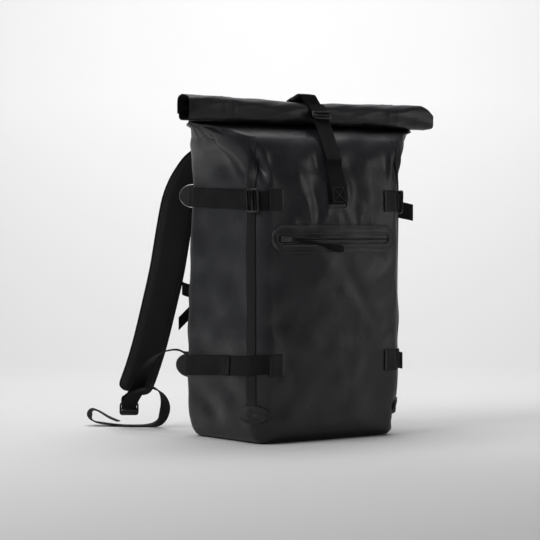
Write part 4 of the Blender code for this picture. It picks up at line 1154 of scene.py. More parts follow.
def roll_cloth(name):
    """The same cloth on the roll, with painted shade darkening its lower half."""
    return coated_cloth(name, *ROLL_SHADE_Z)


def seam_cloth(name):
    """The welded band: a smoother coating with a fine grain, its dark middle partly its own tone and
    partly painted shade of the front corner, and paler at its foot and its top.
    """
    shell = bpy.context.scene.backpack_shell
    look = Finish(name, 0.55, specular=0.26)
    grain = look.noise(scale=380.0, detail=2.0)
    low, high = SEAM_FOOT_SHADE_Z, SEAM_TOP_SHADE_Z
    # the dark middle between these ramps is partly the band's own tone and partly painted shade of the
    # front corner
    foot, top = look.height(0.88, 0.08, low[1], low[0]), look.height(0.08, 0.88, high[1], high[0])
    ends = look.math("MAXIMUM", foot, top)
    rise = look.math("ADD", look.spread(look.noise(scale=14.0), 0.0, 0.12), ends)
    look.tint(rise, shade(shell.colour, 0.38), shade(shell.colour, 1.1))
    return look.done(look.bump(grain, distance=0.0001, strength=0.4))


def weld_edge(name):
    """A pressed edge of the coating, shiny where it was welded, with a base colour far lighter than
    the cloth's as a painted highlight.
    """
    shell = bpy.context.scene.backpack_shell
    look = Finish(name, 0.26, specular=0.9)
    # painted highlight: base colour 1.6 to 3.4 times the cloth's
    look.mottle(50.0, 3.0, shade(shell.colour, 1.6), shade(shell.colour, 3.4))
    return look.done(look.bump(look.noise(scale=380.0), distance=0.0001, strength=0.3))


def woven(name):
    """Webbing: ribs across its length and fine warp lines along it, a little uneven."""
    webbing = bpy.context.scene.backpack_webbing
    look = Finish(name, 0.78, specular=0.15)
    look.set("Sheen Weight", 0.02)
    look.set("Sheen Roughness", 0.5)
    ribs = look.waves(webbing.rib, "Y", distortion=0.4)
    warp = look.waves(webbing.rib * 0.8, "X")
    weave = look.math("MULTIPLY", ribs, look.spread(warp, 0.45, 1.0, 0.0, 1.0))
    ridges = look.math("MULTIPLY", weave, 0.4)
    tint_share = look.math("ADD", look.spread(look.noise(scale=30.0), 0.0, 0.6), ridges)
    look.tint(tint_share, shade(webbing.colour, 0.55), shade(webbing.colour, 1.5))
    return look.done(look.bump(weave, distance=0.00045, strength=0.8))


def strap_cloth(name):
    """Shoulder strap cloth: a dense small weave with a soft nap."""
    padding = bpy.context.scene.backpack_padding
    look = Finish(name, 0.85, specular=0.20)
    look.set("Sheen Weight", 0.05)
    look.set("Sheen Roughness", 0.6)
    weave = look.math("ADD", look.waves(STRAP_WEAVE, "X"), look.waves(STRAP_WEAVE, "Y"))
    look.mottle(45.0, 4.0, shade(padding.colour, 0.7), shade(padding.colour, 1.35))
    normal = look.bump(weave, distance=0.0002, strength=0.5)
    nap = look.noise(scale=70.0, detail=4.0)
    return look.done(look.bump(nap, distance=0.0006, strength=0.35, under=normal))


def moulding(name):
    """Moulded plastic: satin, with a fine spark-eroded grain."""
    hardware = bpy.context.scene.backpack_hardware
    look = Finish(name, hardware.roughness, specular=0.5)
    grain = look.noise(scale=900.0, detail=2.0)
    look.mottle(60.0, 3.0, shade(hardware.colour, 0.8), shade(hardware.colour, 1.2))
    rough = look.math("ADD", look.spread(grain, -0.05, 0.05), float(hardware.roughness))
    look.join(rough, look.shader, "Roughness")
    return look.done(look.bump(grain, distance=0.00005, strength=0.4))


def coil(name):
    """Zip tape: rubbery coating with a slight sheen."""
    hardware = bpy.context.scene.backpack_hardware
    look = Finish(name, 0.38, specular=0.5)
    look.mottle(120.0, 3.0, shade(hardware.colour, 0.7), shade(hardware.colour, 1.1))
    return look.done(look.bump(look.noise(scale=700.0), distance=0.00006, strength=0.4))


def zip_metal(name):
    """Black coated metal, rubbed a little lighter in places."""
    look = Finish(name, 0.33, metallic=1.0)
    look.mottle(160.0, 4.0, (0.10, 0.10, 0.105), (0.26, 0.26, 0.27))
    return look.done(look.bump(look.noise(scale=500.0), distance=0.00003, strength=0.5))


def bright_wire(name):
    """Plain satin wire."""
    look = Finish(name, 0.25, metallic=1.0)
    look.mottle(200.0, 3.0, (0.26, 0.26, 0.27), (0.36, 0.36, 0.37))
    return look.done(look.bump(look.noise(scale=400.0), distance=0.00002, strength=0.4))


def thread(name):
    """Sewing thread, twisted."""
    look = Finish(name, 0.6, specular=0.4)
    look.tint(look.noise(scale=600.0), (0.028, 0.028, 0.030), (0.060, 0.060, 0.064))
    return look.done(look.bump(look.noise(scale=1500.0), distance=0.0001, strength=0.5))


# Shell and roll

def shell_shape():
    """The bag's cloth: outlines from the middle of the bottom out, up the outside, over the neck's
    edge, down the inside and in over the bottom again."""
    cell = bpy.context.scene.backpack_shell.cell
    half = columns(0.0, 5.0, cell)
    fine = columns(1.0, 2.0, cell * 0.7)
    half = np.unique(np.round(np.concatenate([half[(half < 1) | (half > 2)], fine]), 5))
    w = np.concatenate([-half[::-1], half[1:-1]])
    turn = np.linspace(0, pi / 2, 12)
    bottom = BOTTOM_ROUND * (1 - np.cos(turn))
    shoulder = BAG_HEIGHT * SHOULDER_UP
    side = np.arange(BOTTOM_ROUND + cell, shoulder, cell)
    shoulder = np.arange(shoulder, BAG_HEIGHT + NECK_RISE * NECK_FIRST, cell * 0.4)
    neck = BAG_HEIGHT + NECK_RISE * np.linspace(NECK_FIRST, 1.0, 4)
    z = np.concatenate([bottom, side, shoulder, neck])
    outer = skin_at(w[None, :], z[:, None])
    inner_z = [z[-4:-1], BAG_HEIGHT * np.linspace(0.99, 0.10, 22)[1:], [0.030, 0.014]]
    inner_z = np.sort(np.concatenate(inner_z))[::-1]
    inner = lifted(w[None, :], inner_z[:, None], -CLOTH)
    top = outer[-1] - unit(skin_normal(w, z[-1]) * [1.0, 1.0, 0.0]) * CLOTH
    floor = outer[0] + [0.0, 0.0, CLOTH]
    centre = np.array([0.0, outer[0, :, 1].mean(), 0.0])
    shrink = np.array([0.02, 0.35, 0.70, 0.92])[:, None, None]
    under = centre + (outer[0] - centre) * shrink
    above = (under + [0.0, 0.0, CLOTH])[::-1]
    rings = np.concatenate([under, outer, top[None], inner, floor[None], above])
    u = np.broadcast_to(unrolled(w), rings.shape[:2])
    return tube(rings, np.stack([u, rings[..., 2]], axis=-1))


def roll_middle(along):
    """The roll's centre in y and z and its half height, at a share of half its length."""
    height = through(along, ROLL_STATIONS[:, 0], ROLL_STATIONS[:, 1]) * ROLL_HEIGHT / 2
    drop = through(along, ROLL_STATIONS[:, 0], ROLL_STATIONS[:, 2]) * ROLL_SAG
    y = NECK_SET_BACK - FRONT_REACH - ROLL_SHEET / 2 - ROLL_DEPTH / 2 + 0 * height
    return y, BAG_HEIGHT + NECK_RISE + ROLL_HEIGHT / 2 - ROLL_SINK - drop, height


def roll_path(theta, along, lift=0.0, rough=0.0):
    """The rolled sheet: a shrinking superellipse, theta 0 at its back and a quarter turn at its
    top, plus lift and a sum of sine wrinkles times rough."""
    theta, along = np.broadcast_arrays(np.asarray(theta, float), np.asarray(along, float))
    y, z, height = roll_middle(along)
    shrink = 1 - ROLL_TUCK * theta / (2 * pi)
    cosine, sine = np.cos(theta), np.sin(theta)
    boxy = ROLL_BOXY + ROLL_END_BOXY * ease((np.abs(along) - 0.7) / 0.25)
    swell = (np.abs(cosine) ** boxy + np.abs(sine) ** boxy) ** (-1 / boxy)
    swell = np.where(theta < 1e-6, 1.0, swell)
    out = unit(np.stack([cosine / ROLL_DEPTH, sine / (2 * height)], axis=-1))
    x = along * ROLL_LENGTH / 2
    wrinkle = sum(
        share * np.sin(turns * theta + waves * x + phase) for share, turns, waves, phase in WRINKLES
    )
    pinch = 1 - 0.05 * bell(x, WEBBING_WIDTH) * (rough > 0)
    over = lift + rough * wrinkle
    y = y + ROLL_DEPTH / 2 * shrink * swell * pinch * cosine + out[..., 0] * over
    z = z + height * shrink * swell * pinch * sine + out[..., 1] * over
    return np.stack([x, y, z], axis=-1)


def roll_shape():
    """The wound sheet: an outline of its two faces, carried along the bag's width."""
    along = np.linspace(-1, 1, 171)[:, None]
    theta = [np.linspace(0, 2 * pi, 90)[:-1], np.linspace(2 * pi, ROLL_TURNS * 2 * pi, 50)]
    theta = np.concatenate(theta)[None, :]
    faces = []
    end = ease((1 - np.abs(along)) / 0.05)
    x = along * ROLL_LENGTH / 2
    inside = [WELD_WIDTH / 2 - np.abs(x - at) for at in WELD_X]
    band = sum(ease(deep / WELD_FADE + 0.5) for deep in inside)
    edge = sum(bell(deep, WELD_EDGE) for deep in inside)
    for lift in (-ROLL_SHEET / 2, ROLL_SHEET / 2):
        over = lift * (0.45 + 0.55 * end)
        over = over + WELD_RISE * (0.3 * band + 0.6 * edge) * (lift > 0) * (theta < 2 * pi)
        wound = roll_path(theta, along, over, ROLL_WRINKLE)
        inner = ease((theta - 2 * pi + 0.4) / 1.2)
        wound[..., 0] -= np.sign(along) * ROLL_RECESS * inner * ease((np.abs(along) - 0.7) / 0.3)
        foot = wound[:, :1].copy()
        foot[..., 2] = BAG_HEIGHT + NECK_RISE + GAP
        faces.append(np.concatenate([foot, wound], axis=1))
    rings = np.concatenate([faces[0], faces[1][:, ::-1]], axis=1)
    v = np.concatenate([distance_along(faces[0][0]), distance_along(faces[1][0])[::-1]])
    uv = np.stack([rings[..., 0], np.broadcast_to(v, rings.shape[:2])], axis=-1)
    count, size = rings.shape[:2]
    points, quads, _, uv = tube(rings, uv)
    half = size // 2
    j = np.arange(half - 1)
    left = np.stack([j, j + 1, size - 2 - j, size - 1 - j], axis=-1)
    right = (left + (count - 1) * size)[:, ::-1]
    if (np.diff(quads[0, :2])[0] == 1) == (left[0, 1] - left[0, 0] == 1):
        left, right = left[:, ::-1], right[:, ::-1]
    return points, np.concatenate([quads, left, right]), [], uv


class BuildShell(bpy.types.Operator):
    """Builds the bag's cloth shell, open at its neck, and the rolled top above it"""

    bl_idname = "backpack.shell"
    bl_label = "Shell and roll"

    def execute(self, context):
        piece("bag_shell", shell_shape(), coated_cloth, ["bag_body"])
        piece("rolled_top", roll_shape(), roll_cloth, ["roll_top"])
        return {"FINISHED"}


# Seams

def oval_pad(side):
    """An embossed oval over the seam's foot: rings of an ellipse, domed and sunk at its edge."""
    middle = unrolled(side * (SEAM_W[0] + SEAM_W[1]) / 2)
    turn = np.arange(48) / 48 * 2 * pi
    size = np.array([0.03, 0.4, 0.7, 0.86, 0.94, 0.98, 1.0, 1.0, 0.03])[:, None]
    dome = np.array([1.0, 0.95, 0.9, 1.0, 1.15, 0.85, 0.35, -0.3])
    lift = np.append(dome * SEAM_PAD_RISE + SEAM_LIFT, GAP)
    s = middle + size * np.cos(turn) * SEAM_PAD[0] / 2
    z = SEAM_PAD_Z + size * np.sin(turn) * SEAM_PAD[1] / 2
    return tube(lifted(column_at(s), z, lift[:, None]), np.stack([s, z], axis=-1))


def seam_shape(side):
    """The welded band up the front corner: an upright strip with a bell-shaped line raised along
    each edge and one pressed in along its middle."""
    share = np.linspace(-1, 1, 25)
    ridge = SEAM_RIDGE * bell(np.abs(share) - 0.80, 0.10) - SEAM_HOLLOW * bell(share, 0.2)
    rise = SEAM_BAND_THICKNESS * ease((1 - np.abs(share)) / 0.10) + ridge
    z = np.linspace(SEAM_BAND_FOOT, SEAM_BAND_TOP, 130)
    fade = ease((SEAM_BAND_TOP - z) / SEAM_FADE) * 0.8 + 0.2
    first, last = (
        unrolled(through(z / BAG_HEIGHT, SEAM_ROUTE[:, 0], SEAM_ROUTE[:, k])) for k in (1, 2)
    )
    s = side * mix(first[:, None], last[:, None], (share + 1) / 2)
    w = column_at(s)
    over = lifted(w, z[:, None], GAP + BAND_CLEAR + rise * fade[:, None])
    under = lifted(w, z[:, None], -SEAM_SINK)
    rings = np.concatenate([over, under[:, ::-1]], axis=1)
    u = np.concatenate([s, s[:, ::-1]], axis=1)
    return tube(rings, np.stack([u, rings[..., 2]], axis=-1))


class BuildSeams(bpy.types.Operator):
    """Builds the welded bands up the front corners and the embossed ovals at their feet"""

    bl_idname = "backpack.seams"
    bl_label = "Welded seams"

    def execute(self, context):
        for side, name in SIDES:
            band = seam_shape(side)
            piece(f"seam_band_{name}", band, seam_cloth, [f"front_seam_band_{name}"])
            piece(f"seam_pad_{name}", oval_pad(side), coated_cloth)
        return {"FINISHED"}


# Zip pocket

def racetrack(length, height, count=14):
    """Points round a stadium in x and z, the same number for every size."""
    radius = height / 2
    turn = np.linspace(-pi / 2, pi / 2, count)
    right = np.stack([length / 2 - radius + radius * np.cos(turn), radius * np.sin(turn)], -1)
    straight = np.linspace(1, -1, 4 * count)[1:-1] * (length / 2 - radius)
    top = np.stack([straight, straight * 0 + radius], -1)
    return np.concatenate([right, top, -right, -top])


def zip_surround_shape():
    """Welded surround: rings from the window's edge to the outer edge, with a bead near each."""
    share = np.array([0.0, 0.0, 0.06, 0.12, 0.20, 0.32, 0.60, 0.80, 0.88, 0.93, 0.97, 1.0, 1.0])
    rise = np.array([0.0, 0.8, 1.25, 1.2, 0.8, 0.6, 0.55, 0.65, 1.0, 1.0, 0.6, 0.2, -0.3])
    inner = racetrack(ZIP_LENGTH - ZIP_HEIGHT + ZIP_WINDOW, ZIP_WINDOW)
    outer = racetrack(ZIP_LENGTH, ZIP_HEIGHT)
    track = mix(inner, outer, share[:, None, None])
    x, z = track[..., 0], ZIP_Z + track[..., 1]
    rings = on_front(x, z, GAP + (rise * ZIP_THICKNESS)[:, None])
    rings[0] = on_front(x[0], z[0], ZIP_SINK)
    uv = np.stack([x, z], axis=-1)
    return tube(np.swapaxes(rings, 0, 1), np.swapaxes(uv, 0, 1), loop=True)


def zip_tape_shape():
    """Coated tape with its coil under it: a low cosine tooth every pitch along a raised middle."""
    reach = (ZIP_LENGTH - ZIP_HEIGHT) / 2 + ZIP_WINDOW * 0.35
    x = np.arange(-reach, reach, ZIP_TOOTH / 6)[:, None]
    across = np.linspace(-0.5, 0.5, 23) * (ZIP_WINDOW - 2 * GAP)
    body = TAPE_RISE * (bell(np.abs(across) - TAPE_LINE[0], TAPE_LINE[1]) + 1)
    tooth = 0.5 + 0.5 * np.cos(2 * pi * x / ZIP_TOOTH)
    coil_line = TOOTH_RISE * bell(np.abs(across) - TOOTH_LINE[0], TOOTH_LINE[1])
    split = -TAPE_RISE * bell(across, TAPE_SPLIT)
    rise = body + tooth * coil_line + split
    z = np.broadcast_to(ZIP_Z + across, rise.shape)
    w = front_w(np.broadcast_to(x, rise.shape), z)
    over, under = lifted(w, z, GAP + rise), lifted(w[:, ::-1], z[:, ::-1], ZIP_SINK)
    return tube(np.concatenate([over, under], axis=1))


def zip_runner_shape():
    """The slider: a waisted body, its bridge, a frame round it and the ring that holds the pull."""
    w = front_w(ZIP_SLIDER_X, ZIP_Z)
    out = skin_normal(w, ZIP_Z)
    across = unit(np.cross(UPRIGHT, out))
    up = np.cross(out, across)
    base = skin_at(w, ZIP_Z) + out * ZIP_LIFT
    axes = np.stack([-up, across, out])
    body = (ZIP_SLIDER_WIDTH, ZIP_SLIDER_LENGTH, SLIDER_THICKNESS)
    bridge = (ZIP_SLIDER_WIDTH * 0.42, ZIP_SLIDER_LENGTH * 0.7, BRIDGE_THICKNESS)
    edge = np.concatenate([oval(*ZIP_BOX, 60, 7.0), [[ZIP_BOX[0] / 2, 0.0]]])
    box = on_front(ZIP_SLIDER_X + edge[:, 0], ZIP_Z + edge[:, 1], ZIP_LIFT + ZIP_CLEAR)
    turn = np.arange(20) / 20 * 2 * pi
    middle = base + across * (ZIP_SLIDER_LENGTH / 2 - 2 * GAP) + out * SLIDER_THICKNESS
    circle = np.stack([np.cos(turn), np.sin(turn)], -1)
    path = middle + circle @ np.stack([across * ZIP_RING[0], up * ZIP_RING[1]])
    away = unit(path - middle)
    edge = oval(ZIP_RING_WIRE, ZIP_RING_WIRE, 8)
    ring = path[:, None] + away[:, None] * edge[:, :1] + out * edge[:, 1:]
    return together([
        moulded((base + out * SLIDER_THICKNESS / 2, axes), SLIDER_BODY, body),
        moulded((base + out * BRIDGE_LIFT, axes), ROUND_ENDS, bridge, 3.0),
        carried(box, out, oval(*BOX_WIRE, 10)),
        tube(ring, loop=True),
    ])


def zip_pull_shape():
    """The pull: a flat cord from the ring, thicker at its moulded end, lying on the pocket."""
    share = np.linspace(0, 1, 46)[:, None]
    x = ZIP_SLIDER_X + ZIP_SLIDER_LENGTH / 2 + GAP + share * ZIP_PULL_LENGTH
    wide = ZIP_PULL_WIDTH * (0.55 + 0.2 * share + 0.65 * ease((share - 0.64) / 0.05))
    thick = 1.0 + 0.9 * ease((share - 0.66) / 0.05)
    thick = WEBBING * thick * (0.4 + 0.6 * ease((1 - share) / 0.02))
    ring = oval(1.0, 1.0, 16, 3.2)
    z = ZIP_Z - ZIP_PULL_DROP * share + wide * ring[:, 0]
    x = np.broadcast_to(x, z.shape)
    points = on_front(x, z, ZIP_LIFT + ZIP_CLEAR + thick * (0.5 + ring[:, 1]))
    return tube(points, np.stack([wide * ring[:, 0], x], axis=-1))


class BuildZip(bpy.types.Operator):
    """Builds the front pocket's welded surround, coated zip, slider and pull"""

    bl_idname = "backpack.zip"
    bl_label = "Zip pocket"

    def execute(self, context):
        surround = zip_surround_shape()
        piece("pocket_surround", surround, coated_cloth, ["zip_surround"])
        piece("pocket_zip", zip_tape_shape(), coil, ["zip_tape"])
        piece("pocket_slider", zip_runner_shape(), zip_metal, ["zip_slider"])
        piece("pocket_pull", zip_pull_shape(), woven, ["zip_pull"])
        return {"FINISHED"}


# Roll closure

def roll_out(theta):
    """The roll's outward direction at its middle."""
    return unit(roll_path(theta, 0.0, ROLL_SHEET) - roll_path(theta, 0.0))


def on_roll(wrap):
    """Points of a strap's middle on the roll, for rows of turn and shift."""
    points = roll_path(np.radians(wrap[:, 0]), 0.0, ROLL_SHEET / 2 + GAP + WEBBING / 2)
    points[:, 0] += wrap[:, 1] * BUCKLE_SHIFT
    return points


def box_stitches(middle, across, up, out, width, height):
    """A sewn box with its two diagonals."""
    corners = np.array([(-1, -1), (1, -1), (1, 1), (-1, 1), (-1, -1), (1, 1)])
    lines = []
    for a, b in [*zip(corners, corners[1:]), (corners[1], corners[3])]:
        t = np.linspace(0, 1, 12)[:, None]
        flat = mix(a, b, t) * [width / 2, height / 2]
        line = middle + flat[:, :1] * across + flat[:, 1:] * up
        lines.append(stitches(line, np.broadcast_to(out, line.shape), BOX_PITCH, FINE_THREAD))
    return together(lines)


def closure_paths():
    """Paths of the front and back closure straps, and the buckle's middle, way and outward side."""
    centre = roll_path(radians(BUCKLE_TURN), 0.0, ROLL_SHEET / 2 + GAP + BUCKLE_THICKNESS / 2)
    centre[0] += BUCKLE_SHIFT
    up = roll_out(radians(BUCKLE_TURN))
    forwards = np.array([0.0, -up[2], up[1]])
    reach = forwards * (BUCKLE_LENGTH / 2 + GAP)
    lead = forwards * BUCKLE_THICKNESS / 2
    rows = np.linspace(CLOSURE_FOOT_Z, CLOSURE_LIFTS_OFF * BAG_HEIGHT, SEWN_ROWS)
    sewn = lifted(0.0, rows, 2 * (GAP + WEBBING))
    front = np.concatenate([sewn, on_roll(CLOSURE_WRAP), [centre + reach + lead, centre + reach]])
    rows = np.linspace(BACK_LIFTS_OFF * BAG_HEIGHT, CLOSURE_BACK_Z - CLOSURE_STITCH, 8)
    sewn = lifted(BACK_CENTRE, rows, 2 * GAP + WEBBING / 2)
    sewn[:, 0] = 0.0
    back = np.concatenate([[centre - reach, centre - reach - lead], on_roll(BACK_WRAP), sewn])
    return front, back, centre, forwards, up


def buckle_shapes(centre, forwards, up):
    """Side-release buckle: the socket with a raised panel, the plug's collar, ribs and prongs."""
    width, length, thickness = BUCKLE_WIDTH, SOCKET_LENGTH, BUCKLE_THICKNESS
    across = np.cross(forwards, up)
    axes = np.stack([across, forwards, up])
    middle = centre - forwards * (BUCKLE_LENGTH - length) / 2
    panel = middle + up * thickness * 0.46
    socket = together([
        moulded((middle, axes), SOCKET_BODY, (width, length, thickness), 4.5),
        moulded((panel, axes), ROUND_ENDS, (width * 0.5, length * 0.62, RIB), 4.0),
    ])
    collar = BUCKLE_LENGTH - length - GAP
    middle = centre + forwards * (BUCKLE_LENGTH - collar) / 2
    plug = [moulded((middle, axes), ROUND_ENDS, (width * 0.96, collar, thickness * 0.9), 4.5)]
    for share in (-0.28, 0.0, 0.28):
        rib = middle + forwards * collar * share + up * thickness * 0.44
        rib_axes = np.stack([-forwards, across, up])
        plug.append(moulded((rib, rib_axes), ROUND_ENDS, (RIB_WIDTH, width * 0.72, RIB), 2.4))
    for side in (-1, 1):
        prong = centre - forwards * PRONG_BACK + across * side * width * 0.485
        size = (PRONG_WIDTH, length * 0.55, thickness * 0.5)
        plug.append(moulded((prong, axes), ROUND_ENDS, size, 2.6))
    return socket, together(plug)


def closure_piece(name, rows, steps, nodes=()):
    """A strap over the roll, level across and smooth through rows of points."""
    path = even(smooth(rows, steps), bpy.context.scene.backpack_webbing.cell)
    band = carried(path, ACROSS, outline(WEBBING_WIDTH, WEBBING, 12), square=False)
    piece(name, band, woven, nodes)


def closure_weld_shape():
    """A pressed line on three sides of the strap's foot: an open squarish oval round it."""
    turn = np.linspace(0, pi, 60)
    width, height, below = FOOT_OUTLINE
    x = -width / 2 * np.sign(np.cos(turn)) * np.abs(np.cos(turn)) ** 0.25
    z = CLOSURE_FOOT_Z + height * (1 - np.sin(turn) ** 0.25) - below
    return carried(on_front(x, z, GAP), skin_normal(front_w(x, z), z), oval(*FOOT_WELD, 10))


class BuildClosure(bpy.types.Operator):
    """Builds the strap over the roll, its stitched foot, slider and fastened buckle"""

    bl_idname = "backpack.closure"
    bl_label = "Roll closure"

    def execute(self, context):
        foot, sewn_z = CLOSURE_FOOT_Z, CLOSURE_FOOT_Z + CLOSURE_STITCH / 2
        half = float(front_w(CLOSURE_PATCH_WIDTH / 2, foot))
        w = np.linspace(-half, half, 17)
        patch = laid(w, 0 * w + sewn_z, CLOSURE_STITCH, GAP)
        piece("closure_foot", patch, woven, ["closure_patch"])
        piece("closure_weld", closure_weld_shape(), coated_cloth)
        front, back, centre, forwards, up = closure_paths()
        closure_piece("closure_band", front, 6, ["closure_strap_front"])
        closure_piece("closure_back_band", back, 6, ["closure_strap_back"])
        low = lifted(0.0, CLOSURE_LIFTS_OFF * BAG_HEIGHT, 2 * (GAP + WEBBING))
        high = on_roll(CLOSURE_WRAP[:1])[0]
        lean = unit(high - low)
        out = np.array([0.0, -lean[2], lean[1]])
        middle = mix(low, high, SLIDER_SHARE) + out * (WEBBING / 2 + GAP + PLASTIC / 2)
        bar = lock(place_at(middle, ACROSS, out), LOCK_WIDTH, SLIDER_HEIGHT)
        piece("closure_bar", bar, moulding, ["closure_slider"])
        upper = np.concatenate([[middle + lean * SLIDER_HEIGHT * 0.45], front[SEWN_ROWS:-1]])
        offset = unit(np.cross(ACROSS, np.gradient(upper, axis=0))) * (WEBBING + DOUBLE_CLEAR)
        closure_piece("closure_double", upper[1:] - offset[1:], 8)
        socket, plug = buckle_shapes(centre, forwards, up)
        piece("buckle_socket", socket, moulding, ["closure_buckle_socket"])
        piece("buckle_plug", plug, moulding, ["closure_buckle_plug"])
        normal = skin_normal(0.0, sewn_z)
        sewn = skin_at(0.0, sewn_z) + normal * (2 * (GAP + WEBBING) + WEBBING / 2)
        rise = unit(np.cross(normal, ACROSS))
        size = (WEBBING_WIDTH * 0.78, CLOSURE_STITCH * 0.8)
        box = box_stitches(sewn, np.array(ACROSS), rise, normal, *size)
        piece("closure_stitches", box, thread)
        return {"FINISHED"}


# Side straps

def strap_middle(w, base, fall):
    """Heights of a side strap, falling by fall from the back corner to the front one."""
    share = (np.abs(w) - FALL_W[0]) / (FALL_W[1] - FALL_W[0])
    return base + fall * (np.clip(share, FALL_BEFORE, 1) - 0.5)


def strap_lift(w):
    """A strap's lift: over the seam band near the front corner, and on the cloth behind it."""
    past = np.abs(w) - SEAM_W[1] - SEAM_CLEAR_W
    return mix(SEAM_LIFT, GAP, ease(past / SEAM_STEP_W[1]))


def stepped_lift(w):
    """The same, and back down on the cloth before the seam band."""
    before = SEAM_W[0] - SEAM_STEP_W[0] - np.abs(w)
    return mix(strap_lift(w), GAP, ease(before / SEAM_STEP_W[0]))


def flat_lift(w):
    """The lift of a strap that lies on the cloth."""
    return GAP + 0 * w


def layer_lift(w):
    """The lift of the layer sewn on the lower strap."""
    return strap_lift(w) + WEBBING + GAP


def side_band(side, first, last, level, lift, width=WEBBING_WIDTH, cell=BAND_CELL):
    """A strap's stretch between two columns, at a level's heights. lift is a function of w."""
    w = columns(side * first, side * last, cell)
    return laid(w, strap_middle(w, *LEVELS[level]), width, lift(w))


def on_cloth(side, w, z, lift):
    """A place on the cloth with x along it, y up it and z outwards."""
    w = side * w
    out = skin_normal(w, z)
    across = unit(np.cross(UPRIGHT, out))
    return place_at(skin_at(w, z) + out * lift, across, out)


def patch_stitches(side, low_w, high_w, z, height, lift):
    """Two upright sewn lines inside a patch's ends."""
    heights = np.linspace(z - height * 0.42, z + height * 0.42, 14)
    return together([
        stitches(lifted(w, heights, lift), skin_normal(w, heights), PATCH_PITCH, FINE_THREAD)
        for w in (side * low_w, side * high_w)
    ])


def patch_pieces(side, name, level):
    """A strap's patch at the front corner and the pressed bead at its front edge. Returns its
    stitches."""
    front_z = float(strap_middle(FRONT_STRAP_W, *LEVELS[level]))
    w = columns(side * PATCH_W[0], side * PATCH_W[1], FINE_CELL)
    patch = laid(w, 0 * w + front_z, PATCH_HEIGHT, GAP)
    piece(f"side_patch_{level}_{name}", patch, seam_cloth, [f"anchor_patch_{level}_{name}"])
    edge_w = side * PATCH_W[0]
    heights = front_z + np.linspace(-0.46, 0.46, 20) * PATCH_HEIGHT
    bead = lifted(edge_w, heights, GAP + WEBBING * 0.7)
    bead = carried(bead, skin_normal(edge_w, front_z), oval(*PATCH_BEAD, 12))
    piece(f"side_bead_{level}_{name}", bead, weld_edge)
    ends = (PATCH_W[0] + 0.02, PATCH_W[1] - 0.06)
    return patch_stitches(side, *ends, front_z, PATCH_HEIGHT, GAP + WEBBING)


def side_tail_shape(level, length, below):
    """A free end that stands off the right side: a flat band with a thicker hem, sagging as half a
    sine wave."""
    z = float(strap_middle(SIDE_TAIL_W, *LEVELS[level])) - below
    share = np.linspace(0, 1, 22)
    path = lifted(SIDE_TAIL_W, z, SEAM_LIFT + WEBBING + GAP)
    path = path + share[:, None] * np.array(SIDE_TAIL_WAY) * length
    path[:, 1] -= SIDE_TAIL_SAG * np.sin(pi * share) * length / SIDE_TAIL_LENGTH
    hem = 1 + 0.9 * ease((share - 0.72) / 0.04)
    edge = outline(SIDE_TAIL_WIDTH, WEBBING)[None] * np.stack([0 * hem + 1, hem], -1)[:, None]
    return carried(path, UPRIGHT, edge, square=False)


def side_tab_shapes(side, z):
    """A half-round tab out of the back corner, with its rim: an outline of half an oval carried
    through the tab's thickness, and a wire round the oval."""
    w = side * TAB_W
    out = skin_normal(w, z)
    thick = unit(np.cross(UPRIGHT, out))
    angle = np.linspace(-pi / 2, pi / 2, 33)
    heights = z + np.sin(angle) * TAB_HEIGHT / 2
    rim = lifted(w, heights, GAP) + np.cos(angle)[:, None] * out * TAB_LENGTH
    middle = skin_at(w, z) + out * GAP
    rings = middle + (rim - middle) * TAB_ROWS[:, 1][:, None, None]
    rings = rings + thick * (TAB_ROWS[:, 0] * TAB_THICKNESS)[:, None, None]
    wire = carried(rim, thick, oval(TAB_WIRE, TAB_WIRE, 10))
    stem = (middle + out * TAB_LENGTH * 0.30, np.stack([thick, UPRIGHT, out]))
    strip = moulded(stem, ROUND_ENDS, (TAB_THICKNESS * 1.5, TAB_HEIGHT * 0.82, TAB_STRIP), 3.0)
    return together([tube(rings), strip]), wire


class BuildSideStraps(bpy.types.Operator):
    """Builds the side straps with their patches, loops, ladder locks and free ends"""

    bl_idname = "backpack.side_straps"
    bl_label = "Side straps"

    def execute(self, context):
        for side, name in SIDES:
            sewn = [patch_pieces(side, name, level) for level in LEVELS]
            for part, node, place in (
                ("band_upper", "side_strap_upper", (*STRAP_W, "upper", strap_lift)),
                ("loop", "anchor_loop_upper", (*LOOP_W, "upper", flat_lift, WEBBING_WIDTH, FINE_CELL)),
                ("band_lower", "side_strap_lower", (LOOP_W[0], STRAP_W[1], "lower", stepped_lift)),
                ("layer", "side_strap_layer", (*LAYER_W, "lower", layer_lift, LAYER_WIDTH)),
            ):
                band = side_band(side, *place)
                piece(f"side_{part}_{name}", band, woven, [f"{node}_{name}"])
            at = LAYER_W[0] + 0.03
            z = float(strap_middle(at, *LEVELS["lower"]))
            top = float(strap_lift(at)) + 2 * WEBBING + GAP
            sewn.append(patch_stitches(side, at, at + 0.10, z, WEBBING_WIDTH, top))
            piece(f"side_stitches_{name}", together(sewn), thread)
            z = float(strap_middle(LOCK_W, *LEVELS["upper"]))
            middle, axes = on_cloth(side, LOCK_W, z, SEAM_LIFT + PLASTIC / 2 + LOCK_BACKSET)
            upright = (middle, np.stack([axes[1], -axes[0], axes[2]]))
            shape = lock(upright, LOCK_WIDTH, LOCK_LENGTH)
            piece(f"side_lock_{name}", shape, moulding, [f"ladder_lock_upper_{name}"])
        for level, *tail in SIDE_TAILS:
            shape = side_tail_shape(level, *tail)
            piece(f"side_tail_{level}", shape, woven, [f"side_tail_{level}_right"])
        return {"FINISHED"}


